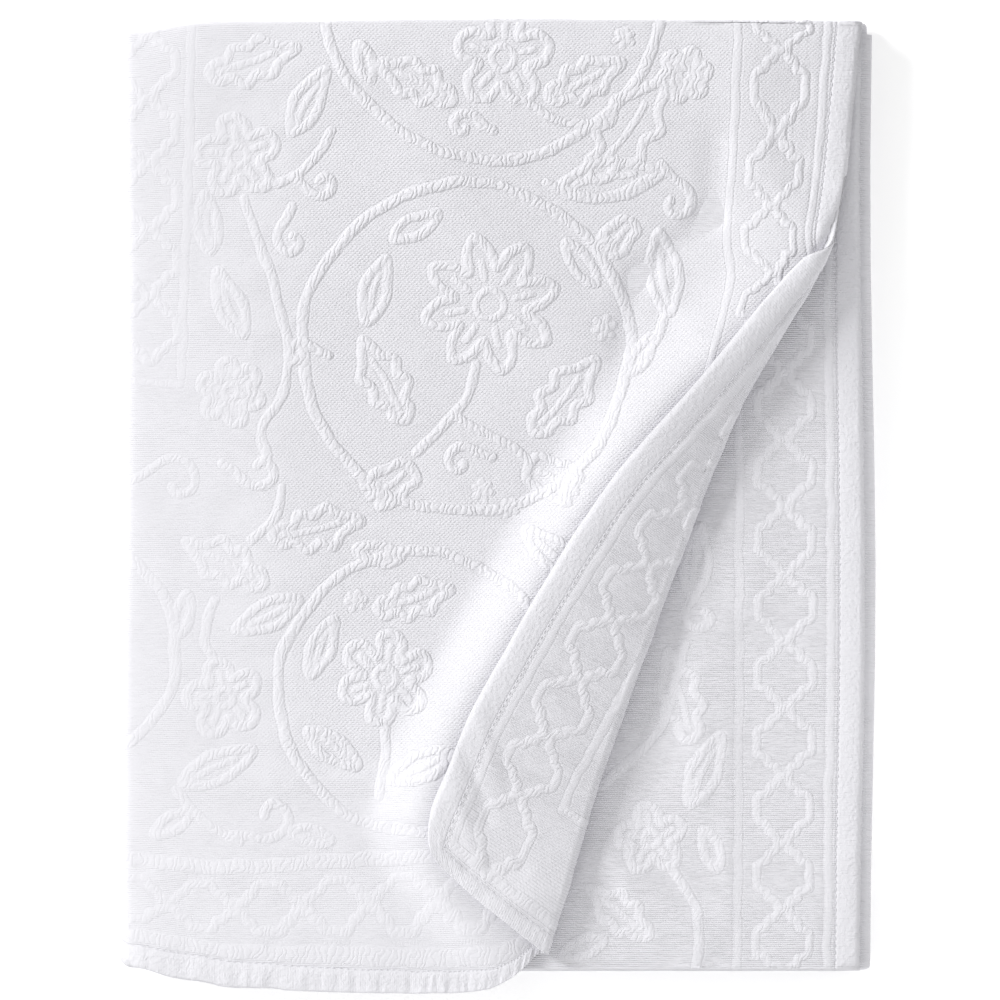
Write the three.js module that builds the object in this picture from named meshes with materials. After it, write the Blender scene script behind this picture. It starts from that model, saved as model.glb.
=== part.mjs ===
// A white cotton matelasse coverlet, folded in thirds along its length and again in thirds across its width,
// lying flat. The free corner of the top layer is turned back over itself. The coverlet is one closed sheet.
import * as THREE from 'three';

// Sizes of the spread coverlet, in millimetres.
const COVERLET_WIDTH = 1300;
const COVERLET_LENGTH = 1700;
const CLOTH_THICKNESS = 2.0;
const HEM_WIDTH = 14;
const HEM_THICKNESS = 2.7;
const HEM_STEP = 2;
const CORNER_ROUND = 34;

// The folded packet. X runs across it, Y along it, Z up from what it lies on.
const LAYER_PITCH = 3.2;
const SIDE_HEM_X = 217.8;
const LEFT_BEND_X = -216;
const RIGHT_BEND_X = 216;
const TOP_FOLD_Y = 284.8;
const BOTTOM_FOLD_Y = -276.4;
const TOP_PLY_LENGTH = 572;
const TOP_PLY_EASE = 0.977;
const FOLD_STEPS = 5;

// Cords that stand up from the ground weave.
const CORD_HALF_WIDTH = 3.4;
const CORD_HEIGHT = 1.0;
const CORD_STEP = 19;
const OUTER_CORD = 20;
const INNER_CORD = 74;
const LOZENGE_PITCH = 40;
const LOZENGE_LENGTH = 31;
const LOZENGE_WIDTH = 32;

// The turned-back corner, a row for each station down the side hem.
// along: distance from the top fold. foldX, foldY: the outermost point of the fold there. turned: cloth from
// that point to the hem. lead: how far the turned rows point away from the side, in degrees. roll: radius of
// the fold. crest: where the top layer is highest, under the turned-back hem. lift: its height there. reach:
// the run of the climb to it. low: its height at the fold.
const LAPEL_COLUMNS = ['along', 'foldX', 'foldY', 'turned', 'lead', 'roll', 'crest', 'lift', 'reach', 'low'];
const LAPEL = [
  [0, 221.8, 284.8, -6.3, 52, 4.0, 214, 0, 60, 0],
  [90, 212.8, 194.0, -6.3, 52, 4.0, 206, 3, 70, 2],
  [128, 201.0, 157.0, 0, 50, 4.2, 190, 9, 75, 6],
  [150, 190.2, 134.0, 16.4, 48, 4.6, 174, 11, 70, 7],
  [243, 143.4, 55.0, 33.3, 40, 5.0, 99, 16, 52, 2],
  [337, 108.6, -32.0, 63.3, 36, 5.0, 35, 16, 44, 0],
  [476, 61.8, -162.0, 89.7, 32, 5.0, -40, 13, 40, 0],
  [523, 48.0, -207.0, 94.9, 33, 4.6, -30, 9, 36, 0],
  [572, 29.4, -268.0, 103.6, 40, 4.4, 12, 3, 30, 0],
].map((row) => Object.fromEntries(LAPEL_COLUMNS.map((name, index) => [name, row[index]])));
const LAPEL_CLEARANCE = 6.0;
const LAPEL_DROP = 0.35;
const EASE_START = 120;
const EASE_REST = 0.25;

// How the bottom hem of the top layer hangs below a straight line. across: share of the way to the fold.
const HEM_SAG = [
  { across: 0, drop: 0 },
  { across: 0.1, drop: 8 },
  { across: 0.2, drop: 14 },
  { across: 0.35, drop: 17.5 },
  { across: 0.55, drop: 21 },
  { across: 0.75, drop: 23 },
  { across: 0.87, drop: 21.5 },
  { across: 0.93, drop: 14.5 },
  { across: 0.97, drop: 6.5 },
  { across: 1, drop: 0 },
];
const SAG_FROM = 300;

// Soft swells of the layers, each a long low ridge between two points.
const TOP_SWELLS = [
  { fromX: -40, fromY: 200, toX: 60, toY: 60, height: 2.2, spread: 30 },
  { fromX: 150, fromY: 260, toX: 160, toY: 180, height: 2.0, spread: 22 },
  { fromX: -150, fromY: 120, toX: -130, toY: -60, height: 1.6, spread: 34 },
  { fromX: -60, fromY: -110, toX: -30, toY: -170, height: 2.4, spread: 26 },
];
const UNDER_SWELLS = [
  { fromX: 125, fromY: -20, toX: 120, toY: -170, height: 1.8, spread: 14 },
  { fromX: 150, fromY: 60, toX: 152, toY: -60, height: 1.4, spread: 12 },
  { fromX: 70, fromY: -215, toX: 120, toY: -262, height: 1.6, spread: 12 },
];

// How the packet's outline wanders, a row for each edge.
const LEFT_WANDER = { size: 1.1, wave: 86, start: 0.6 };
const RIGHT_WANDER = { size: 1.6, wave: 74, start: 2.2 };
const TOP_WANDER = { size: 0.9, wave: 92, start: 1.1 };
const EDGE_DROOP = 0.13;
const EDGE_DROOP_RUN = 20;
const CORNER_TUCK = 5.5;
const CORNER_TUCK_RUN = 26;

// Ring medallions and small figures on the layers that show, in packet coordinates.
const TOP_RINGS = [
  { x: -18.6, y: 91.8, radius: 97 },
  { x: -2, y: 306, radius: 101 },
  { x: -47, y: -112, radius: 83 },
];
const TOP_FLOWERS = [
  { x: -18.6, y: 92, radius: 40, petals: 6, turn: 10 },
  { x: -2, y: 258, radius: 27, petals: 5, turn: 90 },
  { x: -58, y: -108, radius: 34, petals: 6, turn: 30 },
  { x: -148, y: 180, radius: 24, petals: 5, turn: 20 },
  { x: -164, y: -52, radius: 24, petals: 5, turn: 55 },
];
const TOP_LEAVES = [
  { x: 96, y: 222, length: 62, width: 24, turn: 62 },
  { x: -142, y: 262, length: 42, width: 18, turn: 10 },
  { x: -140, y: 98, length: 46, width: 19, turn: 80 },
  { x: -140, y: 30, length: 42, width: 18, turn: 120 },
  { x: -168, y: -122, length: 44, width: 19, turn: 20 },
  { x: -140, y: -186, length: 42, width: 18, turn: 165 },
  { x: 24, y: -36, length: 40, width: 17, turn: 150 },
];
const UNDER_LEAVES = [
  { x: 122, y: -128, length: 44, width: 18, turn: 75 },
  { x: 98, y: -206, length: 44, width: 18, turn: 40 },
  { x: 124, y: -50, length: 36, width: 16, turn: 100 },
];

const CLOTH_COLOUR = 0xf3f3f4;

// Lengths along the cloth where its bends begin and end.
const HALF_PITCH = LAYER_PITCH / 2;
const LENGTH_BEND = Math.PI * HALF_PITCH;
const WIDTH_BEND = Math.PI * 1.5 * LAYER_PITCH;
const FRONT_WIDTH = SIDE_HEM_X - LEFT_BEND_X;
const MIDDLE_WIDTH = RIGHT_BEND_X - LEFT_BEND_X;
const LEFT_BEND_END = FRONT_WIDTH + WIDTH_BEND;
const RIGHT_BEND_START = LEFT_BEND_END + MIDDLE_WIDTH;
const RIGHT_BEND_END = RIGHT_BEND_START + WIDTH_BEND;
const SECOND_PLY_START = TOP_PLY_LENGTH + LENGTH_BEND;
const SECOND_PLY_END = SECOND_PLY_START + TOP_FOLD_Y - BOTTOM_FOLD_Y;
const THIRD_PLY_START = SECOND_PLY_END + LENGTH_BEND;

const clamp = THREE.MathUtils.clamp;
const radians = THREE.MathUtils.degToRad;

function ease(share) {
  const held = clamp(share, 0, 1);
  return held * held * (3 - 2 * held);
}

// Reads a named column of a table at a value of its first column, along a smooth curve.
function readTable(table, key, column, value) {
  const last = table.length - 1;
  const at = clamp(value, table[0][key], table[last][key]);
  let row = 0;
  while (row < last - 1 && at > table[row + 1][key]) row += 1;
  const slope = (index) => {
    if (index === 0 || index === last) return 0;
    const before = table[index - 1];
    const after = table[index + 1];
    return (after[column] - before[column]) / (after[key] - before[key]);
  };
  const run = table[row + 1][key] - table[row][key];
  const u = (at - table[row][key]) / run;
  const startPull = u * (1 - u) * (1 - u) * run * slope(row);
  const endPull = u * u * (u - 1) * run * slope(row + 1);
  const base = table[row][column] * (1 - ease(u)) + table[row + 1][column] * ease(u);
  return base + startPull + endPull;
}

const lapel = (column, along) => readTable(LAPEL, 'along', column, along);

function swell(list, x, y) {
  let height = 0;
  for (const ridge of list) {
    const dx = ridge.toX - ridge.fromX;
    const dy = ridge.toY - ridge.fromY;
    const share = clamp(((x - ridge.fromX) * dx + (y - ridge.fromY) * dy) / (dx * dx + dy * dy), 0, 1);
    const away = Math.hypot(x - ridge.fromX - share * dx, y - ridge.fromY - share * dy);
    height += ridge.height * Math.exp(-((away / ridge.spread) ** 2));
  }
  return height;
}

// Where the roll of the turned-back corner starts, as cloth measured from the side hem.
function rollStart(along) {
  return lapel('turned', along) + (Math.PI / 2) * lapel('roll', along);
}

// How far the top layer has climbed at a place x on the row: up to its crest, then down to the fold.
function climb(along, x) {
  const lift = lapel('lift', along);
  const crest = lapel('crest', along);
  if (x < crest) return lift * (1 - ease((crest - x) / lapel('reach', along)));
  const end = Math.max(lapel('foldX', along) - lapel('roll', along), crest + 1);
  const past = clamp((x - crest) / (end - crest), 0, 1);
  const low = lapel('low', along);
  return low + (lift - low) * (1 - past * past * (1.5 - 0.5 * past));
}

// The top layer of the front panel: fromHem is cloth from the side hem, along is cloth from the top fold.
function topLayer(fromHem, along) {
  const roll = lapel('roll', along);
  const foldX = lapel('foldX', along);
  const foldY = lapel('foldY', along);
  const past = rollStart(along) - fromHem;
  const edgeY = TOP_FOLD_Y - TOP_PLY_EASE * along;
  if (past <= 0) {
    const cloth = FRONT_WIDTH - rollStart(along);
    const room = foldX - roll - LEFT_BEND_X;
    const fromLeft = FRONT_WIDTH - fromHem;
    let run = fromLeft;
    if (fromLeft > EASE_START) {
      const share = (fromLeft - EASE_START) / (cloth - EASE_START);
      const fit = (room - EASE_START) / (cloth - EASE_START);
      const power = (1 / fit - EASE_REST) / (1 - EASE_REST);
      const eased = (1 - EASE_REST) * (1 - (1 - share) ** power) + EASE_REST * share;
      run = EASE_START + (room - EASE_START) * eased;
    }
    const x = LEFT_BEND_X + run;
    const across = run / room;
    const sag = readTable(HEM_SAG, 'across', 'drop', across);
    const deep = clamp((along - SAG_FROM) / (TOP_PLY_LENGTH - SAG_FROM), 0, 1) ** 2;
    const y = edgeY + (foldY - edgeY) * ease(across) - sag * deep;
    return [x, y, climb(along, x) + swell(TOP_SWELLS, x, y)];
  }
  const lead = radians(lapel('lead', along));
  const angle = Math.min(past / roll, Math.PI);
  const beyond = Math.max(past - Math.PI * roll, 0);
  if (angle < Math.PI / 2) {
    const x = foldX - roll * (1 - Math.sin(angle));
    return [x, foldY, climb(along, x) + roll * (1 - Math.cos(angle)) + swell(TOP_SWELLS, x, foldY)];
  }
  const back = roll * (1 - Math.sin(angle)) + beyond;
  const x = foldX - back * Math.cos(lead);
  const y = foldY + back * Math.sin(lead);
  const beneath = along - (y - foldY) / TOP_PLY_EASE;
  const flap = Math.max(rollStart(along) - Math.PI * roll, 0.001);
  const rest = Math.max(LAPEL_CLEARANCE, 2 * roll - LAPEL_DROP * flap);
  const fall = (rest - 2 * roll) * ease(beyond / flap);
  const z = climb(beneath, x) + roll * (1 - Math.cos(angle)) + fall + swell(TOP_SWELLS, x, y);
  return [x, y, z];
}

// Rounds the four corners of the spread cloth.
function roundCorners(s, t) {
  const edge = (value, size) => {
    if (value < CORNER_ROUND) return [CORNER_ROUND, -1];
    if (value > size - CORNER_ROUND) return [size - CORNER_ROUND, 1];
    return null;
  };
  const across = edge(s, COVERLET_WIDTH);
  const along = edge(t, COVERLET_LENGTH);
  if (!across || !along) return [s, t];
  const u = Math.abs(s - across[0]) / CORNER_ROUND;
  const v = Math.abs(t - along[0]) / CORNER_ROUND;
  const roundU = u * Math.sqrt(1 - (v * v) / 2);
  const roundV = v * Math.sqrt(1 - (u * u) / 2);
  return [across[0] + across[1] * roundU * CORNER_ROUND, along[0] + along[1] * roundV * CORNER_ROUND];
}

// The length fold: three plies back and forth. depth is the height in that stack, 0 at the lowest ply.
function foldLength(t) {
  if (t < TOP_PLY_LENGTH) {
    return { y: TOP_FOLD_Y - TOP_PLY_EASE * (TOP_PLY_LENGTH - t), depth: 2 * LAYER_PITCH };
  }
  if (t < SECOND_PLY_START) {
    const turn = (t - TOP_PLY_LENGTH) / HALF_PITCH;
    return { y: TOP_FOLD_Y + HALF_PITCH * Math.sin(turn), depth: 1.5 * LAYER_PITCH + HALF_PITCH * Math.cos(turn) };
  }
  if (t < SECOND_PLY_END) return { y: TOP_FOLD_Y - (t - SECOND_PLY_START), depth: LAYER_PITCH };
  if (t < THIRD_PLY_START) {
    const turn = (t - SECOND_PLY_END) / HALF_PITCH;
    return { y: BOTTOM_FOLD_Y - HALF_PITCH * Math.sin(turn), depth: HALF_PITCH + HALF_PITCH * Math.cos(turn) };
  }
  return { y: BOTTOM_FOLD_Y + (t - THIRD_PLY_START), depth: 0 };
}

// The width fold: the stack of three plies goes back and forth three times.
function foldWidth(s, depth) {
  const floor = CLOTH_THICKNESS / 2;
  if (s < FRONT_WIDTH) return { x: SIDE_HEM_X - s, z: floor + 6 * LAYER_PITCH + depth };
  if (s < LEFT_BEND_END) {
    const turn = ((s - FRONT_WIDTH) / WIDTH_BEND) * Math.PI;
    const radius = HALF_PITCH + depth;
    return { x: LEFT_BEND_X - radius * Math.sin(turn), z: floor + 5.5 * LAYER_PITCH + radius * Math.cos(turn) };
  }
  if (s < RIGHT_BEND_START) {
    return { x: LEFT_BEND_X + (s - LEFT_BEND_END), z: floor + 5 * LAYER_PITCH - depth };
  }
  if (s < RIGHT_BEND_END) {
    const turn = ((s - RIGHT_BEND_START) / WIDTH_BEND) * Math.PI;
    const radius = HALF_PITCH + 2 * LAYER_PITCH - depth;
    return { x: RIGHT_BEND_X + radius * Math.sin(turn), z: floor + 2.5 * LAYER_PITCH + radius * Math.cos(turn) };
  }
  return { x: RIGHT_BEND_X - (s - RIGHT_BEND_END), z: floor + depth };
}

// The whole packet sags a little at its edges and its outline wanders.
function settle(x, y, z) {
  const inX = Math.max(RIGHT_BEND_X + 9 - Math.abs(x), 0);
  const inY = Math.max(TOP_FOLD_Y + 3 - Math.abs(y), 0);
  const droop = EDGE_DROOP * (Math.exp(-inX / EDGE_DROOP_RUN) + Math.exp(-inY / EDGE_DROOP_RUN));
  const leftShare = clamp(-x / RIGHT_BEND_X, 0, 1) ** 3;
  const rightShare = clamp(x / RIGHT_BEND_X, 0, 1) ** 3;
  const topShare = clamp(y / TOP_FOLD_Y, 0, 1) ** 3;
  const endShare = Math.abs(clamp(y / TOP_FOLD_Y, -1, 1)) ** 3;
  const wander = (edge, place) => edge.size * Math.sin(place / edge.wave + edge.start);
  const tuck = CORNER_TUCK * Math.exp(-(((x - LEFT_BEND_X) / CORNER_TUCK_RUN) ** 2)) * endShare * Math.sign(y);
  const lowest = CLOTH_THICKNESS / 2;
  return [
    x + leftShare * wander(LEFT_WANDER, y) + rightShare * wander(RIGHT_WANDER, y),
    y + topShare * wander(TOP_WANDER, x) - tuck,
    lowest + (z - lowest) * (1 - droop),
  ];
}

// The middle of the cloth's thickness, in space, at a point of the spread cloth.
function clothPoint(s, t) {
  const long = foldLength(t);
  const wide = foldWidth(s, long.depth);
  if (t < TOP_PLY_LENGTH && s < FRONT_WIDTH) {
    const [x, y, lift] = topLayer(s, TOP_PLY_LENGTH - t);
    return settle(x, y, wide.z + lift);
  }
  const inSecondPly = s < FRONT_WIDTH && t > SECOND_PLY_START && t < SECOND_PLY_END;
  const lift = inSecondPly ? swell(UNDER_SWELLS, wide.x, long.y) : 0;
  return settle(wide.x, long.y, wide.z + lift);
}

// The unit normal that points out of the cloth's face.
function clothNormal(s, t) {
  const small = 0.05;
  const left = new THREE.Vector3(...clothPoint(s - small, t));
  const right = new THREE.Vector3(...clothPoint(s + small, t));
  const low = new THREE.Vector3(...clothPoint(s, t - small));
  const high = new THREE.Vector3(...clothPoint(s, t + small));
  return high.sub(low).cross(right.sub(left)).normalize();
}

// Extra half thickness of the hem.
function hemExtra(s, t) {
  const inside = Math.min(s, t, COVERLET_WIDTH - s, COVERLET_LENGTH - t);
  return ((HEM_THICKNESS - CLOTH_THICKNESS) / 2) * clamp((HEM_WIDTH + HEM_STEP - inside) / HEM_STEP, 0, 1);
}

// Plane in which the cloth is divided into triangles: bends are spread out there, and the columns of the
// turned-back corner run straight.
const PLAN_BEND = 22 * FOLD_STEPS;
const PLAN_FLAP = 45;
const PLAN_ROLL = 90;
const PLAN_FRONT = 400;
const PLAN_HIDDEN = 0.7;

function flapEnds(t) {
  const along = clamp(TOP_PLY_LENGTH - t, 0, TOP_PLY_LENGTH);
  const flap = Math.max(rollStart(along) - Math.PI * lapel('roll', along), 26);
  return [flap, Math.max(rollStart(along), flap + 18)];
}

function planPoint(s, t) {
  const [flap, roll] = flapEnds(t);
  const frontEnd = PLAN_FLAP + PLAN_ROLL + PLAN_FRONT;
  const middleEnd = frontEnd + PLAN_BEND + PLAN_HIDDEN * MIDDLE_WIDTH;
  let a = 0;
  if (s < flap) a = (s / flap) * PLAN_FLAP;
  else if (s < roll) a = PLAN_FLAP + ((s - flap) / (roll - flap)) * PLAN_ROLL;
  else if (s < FRONT_WIDTH) a = PLAN_FLAP + PLAN_ROLL + ((s - roll) / (FRONT_WIDTH - roll)) * PLAN_FRONT;
  else if (s < LEFT_BEND_END) a = frontEnd + ((s - FRONT_WIDTH) / WIDTH_BEND) * PLAN_BEND;
  else if (s < RIGHT_BEND_START) a = frontEnd + PLAN_BEND + (s - LEFT_BEND_END) * PLAN_HIDDEN;
  else if (s < RIGHT_BEND_END) a = middleEnd + ((s - RIGHT_BEND_START) / WIDTH_BEND) * PLAN_BEND;
  else a = middleEnd + PLAN_BEND + (s - RIGHT_BEND_END) * PLAN_HIDDEN;
  const secondStart = TOP_PLY_LENGTH + PLAN_BEND;
  const secondEnd = secondStart + SECOND_PLY_END - SECOND_PLY_START;
  let b = t;
  if (t > THIRD_PLY_START) b = secondEnd + PLAN_BEND + (t - THIRD_PLY_START) * PLAN_HIDDEN;
  else if (t > SECOND_PLY_END) b = secondEnd + ((t - SECOND_PLY_END) / LENGTH_BEND) * PLAN_BEND;
  else if (t > SECOND_PLY_START) b = secondStart + (t - SECOND_PLY_START);
  else if (t > TOP_PLY_LENGTH) b = TOP_PLY_LENGTH + ((t - TOP_PLY_LENGTH) / LENGTH_BEND) * PLAN_BEND;
  return [a, b];
}

// A small repeatable scatter that keeps four points of a square off one circle.
function scatter(index) {
  const wave = Math.sin(index * 12.9898) * 43758.5453;
  return (wave - Math.floor(wave) - 0.5) * 0.02;
}

// A growing triangulation of points in the plan, with each new point put inside the circles it spoils.
class Division {
  constructor(width, height) {
    const far = 40 * (width + height);
    this.size = [width, height];
    this.points = [];
    this.corners = [
      [-far, -far],
      [far, -far],
      [0, far],
    ];
    this.triangles = [];
    this.addTriangle(-1, -2, -3);
  }

  place(index) {
    return index < 0 ? this.corners[-index - 1] : this.points[index].plan;
  }

  addTriangle(i, j, k) {
    const [ax, ay] = this.place(i);
    const [bx, by] = this.place(j);
    const [cx, cy] = this.place(k);
    const d = 2 * ((bx - ax) * (cy - ay) - (by - ay) * (cx - ax));
    const b2 = (bx - ax) ** 2 + (by - ay) ** 2;
    const c2 = (cx - ax) ** 2 + (cy - ay) ** 2;
    const ux = ((cy - ay) * b2 - (by - ay) * c2) / d;
    const uy = ((bx - ax) * c2 - (cx - ax) * b2) / d;
    this.triangles.push({ corners: [i, j, k], x: ax + ux, y: ay + uy, radius2: ux * ux + uy * uy });
  }

  insert(point) {
    const index = this.points.length;
    const [a, b] = planPoint(point.s, point.t);
    const onSide = a < 1e-6 || a > this.size[0] - 1e-6;
    const onEnd = b < 1e-6 || b > this.size[1] - 1e-6;
    const plan = [onSide ? a : a + scatter(2 * index), onEnd ? b : b + scatter(2 * index + 1)];
    this.points.push({ ...point, plan });
    const kept = [];
    const edges = new Map();
    for (const triangle of this.triangles) {
      const distance2 = (plan[0] - triangle.x) ** 2 + (plan[1] - triangle.y) ** 2;
      if (distance2 >= triangle.radius2) {
        kept.push(triangle);
        continue;
      }
      const [i, j, k] = triangle.corners;
      for (const [from, to] of [[i, j], [j, k], [k, i]]) {
        if (edges.has(`${to},${from}`)) edges.delete(`${to},${from}`);
        else edges.set(`${from},${to}`, [from, to]);
      }
    }
    this.triangles = kept;
    for (const [from, to] of edges.values()) this.addTriangle(from, to, index);
    return index;
  }

  faces() {
    return this.triangles.map((triangle) => triangle.corners).filter((corners) => Math.min(...corners) >= 0);
  }

  // Splits each line that the triangles cross until every piece of it is an edge.
  keepLines(lines) {
    let open = lines;
    for (let round = 0; round < 4 && open.length > 0; round += 1) {
      const edges = new Set();
      for (const [i, j, k] of this.faces()) {
        for (const [from, to] of [[i, j], [j, k], [k, i]]) edges.add(`${Math.min(from, to)},${Math.max(from, to)}`);
      }
      const next = [];
      for (const [from, to] of open) {
        if (edges.has(`${Math.min(from, to)},${Math.max(from, to)}`)) continue;
        const first = this.points[from];
        const second = this.points[to];
        const middle = this.insert({
          s: (first.s + second.s) / 2,
          t: (first.t + second.t) / 2,
          raise: (first.raise + second.raise) / 2,
        });
        next.push([from, middle], [middle, to]);
      }
      open = next;
    }
  }
}

// Outlines, each a list of points in packet coordinates.
function ringLine(ring) {
  const count = Math.round((2 * Math.PI * ring.radius) / CORD_STEP);
  return Array.from({ length: count }, (_, index) => {
    const turn = (2 * Math.PI * index) / count;
    return [ring.x + ring.radius * Math.cos(turn), ring.y + ring.radius * Math.sin(turn)];
  });
}

function flowerLine(flower) {
  const count = flower.petals * 4;
  return Array.from({ length: count }, (_, index) => {
    const turn = (2 * Math.PI * index) / count + radians(flower.turn);
    const reach = [1, 0.93, 0.62, 0.93][index % 4] * flower.radius;
    return [flower.x + reach * Math.cos(turn), flower.y + reach * Math.sin(turn)];
  });
}

function leafLine(leaf) {
  const turn = radians(leaf.turn);
  const shape = [
    [-0.5, 0],
    [-0.2, 0.42],
    [0.15, 0.46],
    [0.5, 0],
    [0.15, -0.46],
    [-0.2, -0.42],
  ];
  return shape.map(([along, across]) => {
    const u = along * leaf.length;
    const v = across * leaf.width;
    return [leaf.x + u * Math.cos(turn) - v * Math.sin(turn), leaf.y + u * Math.sin(turn) + v * Math.cos(turn)];
  });
}

function lozengeLine(centre) {
  const halfLength = LOZENGE_LENGTH / 2;
  const halfWidth = LOZENGE_WIDTH / 2;
  return [
    [centre[0] - halfWidth, centre[1]],
    [centre[0], centre[1] - halfLength],
    [centre[0] + halfWidth, centre[1]],
    [centre[0], centre[1] + halfLength],
  ];
}

function straightLine(from, to) {
  const count = Math.ceil(Math.hypot(to[0] - from[0], to[1] - from[1]) / (2 * CORD_STEP));
  return Array.from({ length: count + 1 }, (_, index) => {
    const share = index / count;
    return [from[0] + (to[0] - from[0]) * share, from[1] + (to[1] - from[1]) * share];
  });
}

// The spread-cloth point of the top layer that lies at a place in the packet.
function onTopLayer([x, y]) {
  let fromHem = SIDE_HEM_X - x;
  let along = (TOP_FOLD_Y - y) / TOP_PLY_EASE;
  for (let round = 0; round < 30; round += 1) {
    const [atX, atY] = topLayer(fromHem, clamp(along, 0, TOP_PLY_LENGTH));
    fromHem += (atX - x) * 0.8;
    along += (atY - y) * 0.8;
  }
  return [fromHem, TOP_PLY_LENGTH - along];
}

const onSecondPly = ([x, y]) => [SIDE_HEM_X - x, SECOND_PLY_START + TOP_FOLD_Y - y];

// X of the turned-back hem at a height in the packet, and of the fold.
function lapelEdge(y, column) {
  let along = LAPEL[2].along;
  while (along < TOP_PLY_LENGTH - 1) {
    const place = column === 'fold' ? [lapel('foldX', along), lapel('foldY', along)] : topLayer(0, along);
    if (place[1] <= y) return place[0];
    along += 4;
  }
  return lapel('foldX', TOP_PLY_LENGTH);
}

// Where each kind of raised line may lie, so that it shows and keeps clear of bends and hems.
const margin = CORD_HALF_WIDTH + 3;
const front = ([s, t]) => {
  const along = TOP_PLY_LENGTH - t;
  if (along < margin || t < HEM_WIDTH + margin - 2 || s > FRONT_WIDTH - margin) return false;
  if (s < Math.max(rollStart(along) + margin, HEM_WIDTH + HEM_STEP + 1)) return false;
  const [x, y] = topLayer(s, along);
  return along < LAPEL[3].along || x < lapelEdge(y, 'hem') - margin;
};
const second = ([s, t]) => {
  const y = TOP_FOLD_Y - (t - SECOND_PLY_START);
  if (s < HEM_WIDTH + HEM_STEP + 1 || y < BOTTOM_FOLD_Y + margin) return false;
  const atX = SIDE_HEM_X - s;
  return y < 150 && atX > lapelEdge(y, 'fold') + margin;
};
const flap = ([s, t]) => {
  const along = TOP_PLY_LENGTH - t;
  if (t < HEM_WIDTH + margin - 2 || along < LAPEL[4].along || s < HEM_WIDTH + HEM_STEP + 1) return false;
  return s < rollStart(along) - Math.PI * lapel('roll', along) - margin;
};

// Raises a cord along a line: a crest with a foot on either side, in points of the cloth itself.
function raiseCord(division, lines, line, closed, allowed) {
  const count = line.length;
  let previous = null;
  let first = null;
  for (let index = 0; index < count; index += 1) {
    const before = line[closed ? (index + count - 1) % count : Math.max(index - 1, 0)];
    const after = line[closed ? (index + 1) % count : Math.min(index + 1, count - 1)];
    const here = line[index];
    const [ds, dt] = [after[0] - before[0], after[1] - before[1]];
    const size = Math.hypot(ds, dt);
    const into = [(-dt / size) * CORD_HALF_WIDTH, (ds / size) * CORD_HALF_WIDTH];
    const places = [-1, 0, 1].map((side) => [here[0] + into[0] * side, here[1] + into[1] * side]);
    if (!places.every(allowed)) {
      previous = null;
      continue;
    }
    const station = places.map(([s, t], side) => division.insert({ s, t, raise: side === 1 ? CORD_HEIGHT : 0 }));
    if (previous) station.forEach((point, side) => lines.push([previous[side], point]));
    if (index === 0) first = station;
    if (closed && index === count - 1 && first) station.forEach((point, side) => lines.push([point, first[side]]));
    previous = station;
  }
}

const flapCentre = (OUTER_CORD + INNER_CORD) / 2;

// Raised lines of the cloth's face, on the top layer.
function faceCords(division, lines) {
  for (const ring of TOP_RINGS) raiseCord(division, lines, ringLine(ring).map(onTopLayer), true, front);
  for (const flower of TOP_FLOWERS) raiseCord(division, lines, flowerLine(flower).map(onTopLayer), true, front);
  for (const leaf of TOP_LEAVES) raiseCord(division, lines, leafLine(leaf).map(onTopLayer), true, front);
  for (const inset of [OUTER_CORD, INNER_CORD]) {
    raiseCord(division, lines, straightLine([inset, TOP_PLY_LENGTH], [inset, 0]), false, front);
    raiseCord(division, lines, straightLine([FRONT_WIDTH, inset], [inset, inset]), false, front);
  }
  for (let place = LOZENGE_PITCH / 2; place < TOP_PLY_LENGTH; place += LOZENGE_PITCH) {
    raiseCord(division, lines, lozengeLine([flapCentre, TOP_PLY_LENGTH - place]), true, front);
  }
  for (let place = FRONT_WIDTH - LOZENGE_PITCH / 2; place > INNER_CORD; place -= LOZENGE_PITCH) {
    raiseCord(division, lines, lozengeLine([place, flapCentre]), true, front);
  }
}

// Raised lines of the cloth's back, on the turned-back corner and the second ply.
function backCords(division, lines) {
  for (const inset of [OUTER_CORD, INNER_CORD]) {
    raiseCord(division, lines, straightLine([inset, TOP_PLY_LENGTH], [inset, inset]), false, flap);
    raiseCord(division, lines, straightLine([FRONT_WIDTH, inset], [inset, inset]), false, flap);
    raiseCord(division, lines, straightLine([inset, SECOND_PLY_START], [inset, SECOND_PLY_END]), false, second);
  }
  for (let place = LOZENGE_PITCH / 2; place < TOP_PLY_LENGTH; place += LOZENGE_PITCH) {
    raiseCord(division, lines, lozengeLine([flapCentre, TOP_PLY_LENGTH - place]), true, flap);
  }
  for (let place = SECOND_PLY_START + LOZENGE_PITCH / 2; place < SECOND_PLY_END; place += LOZENGE_PITCH) {
    raiseCord(division, lines, lozengeLine([flapCentre, place]), true, second);
  }
  for (const leaf of UNDER_LEAVES) raiseCord(division, lines, leafLine(leaf).map(onSecondPly), true, second);
}

// Stations across and along the spread cloth.
function spread(from, to, count) {
  return Array.from({ length: count + 1 }, (_, index) => from + ((to - from) * index) / count);
}

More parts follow.
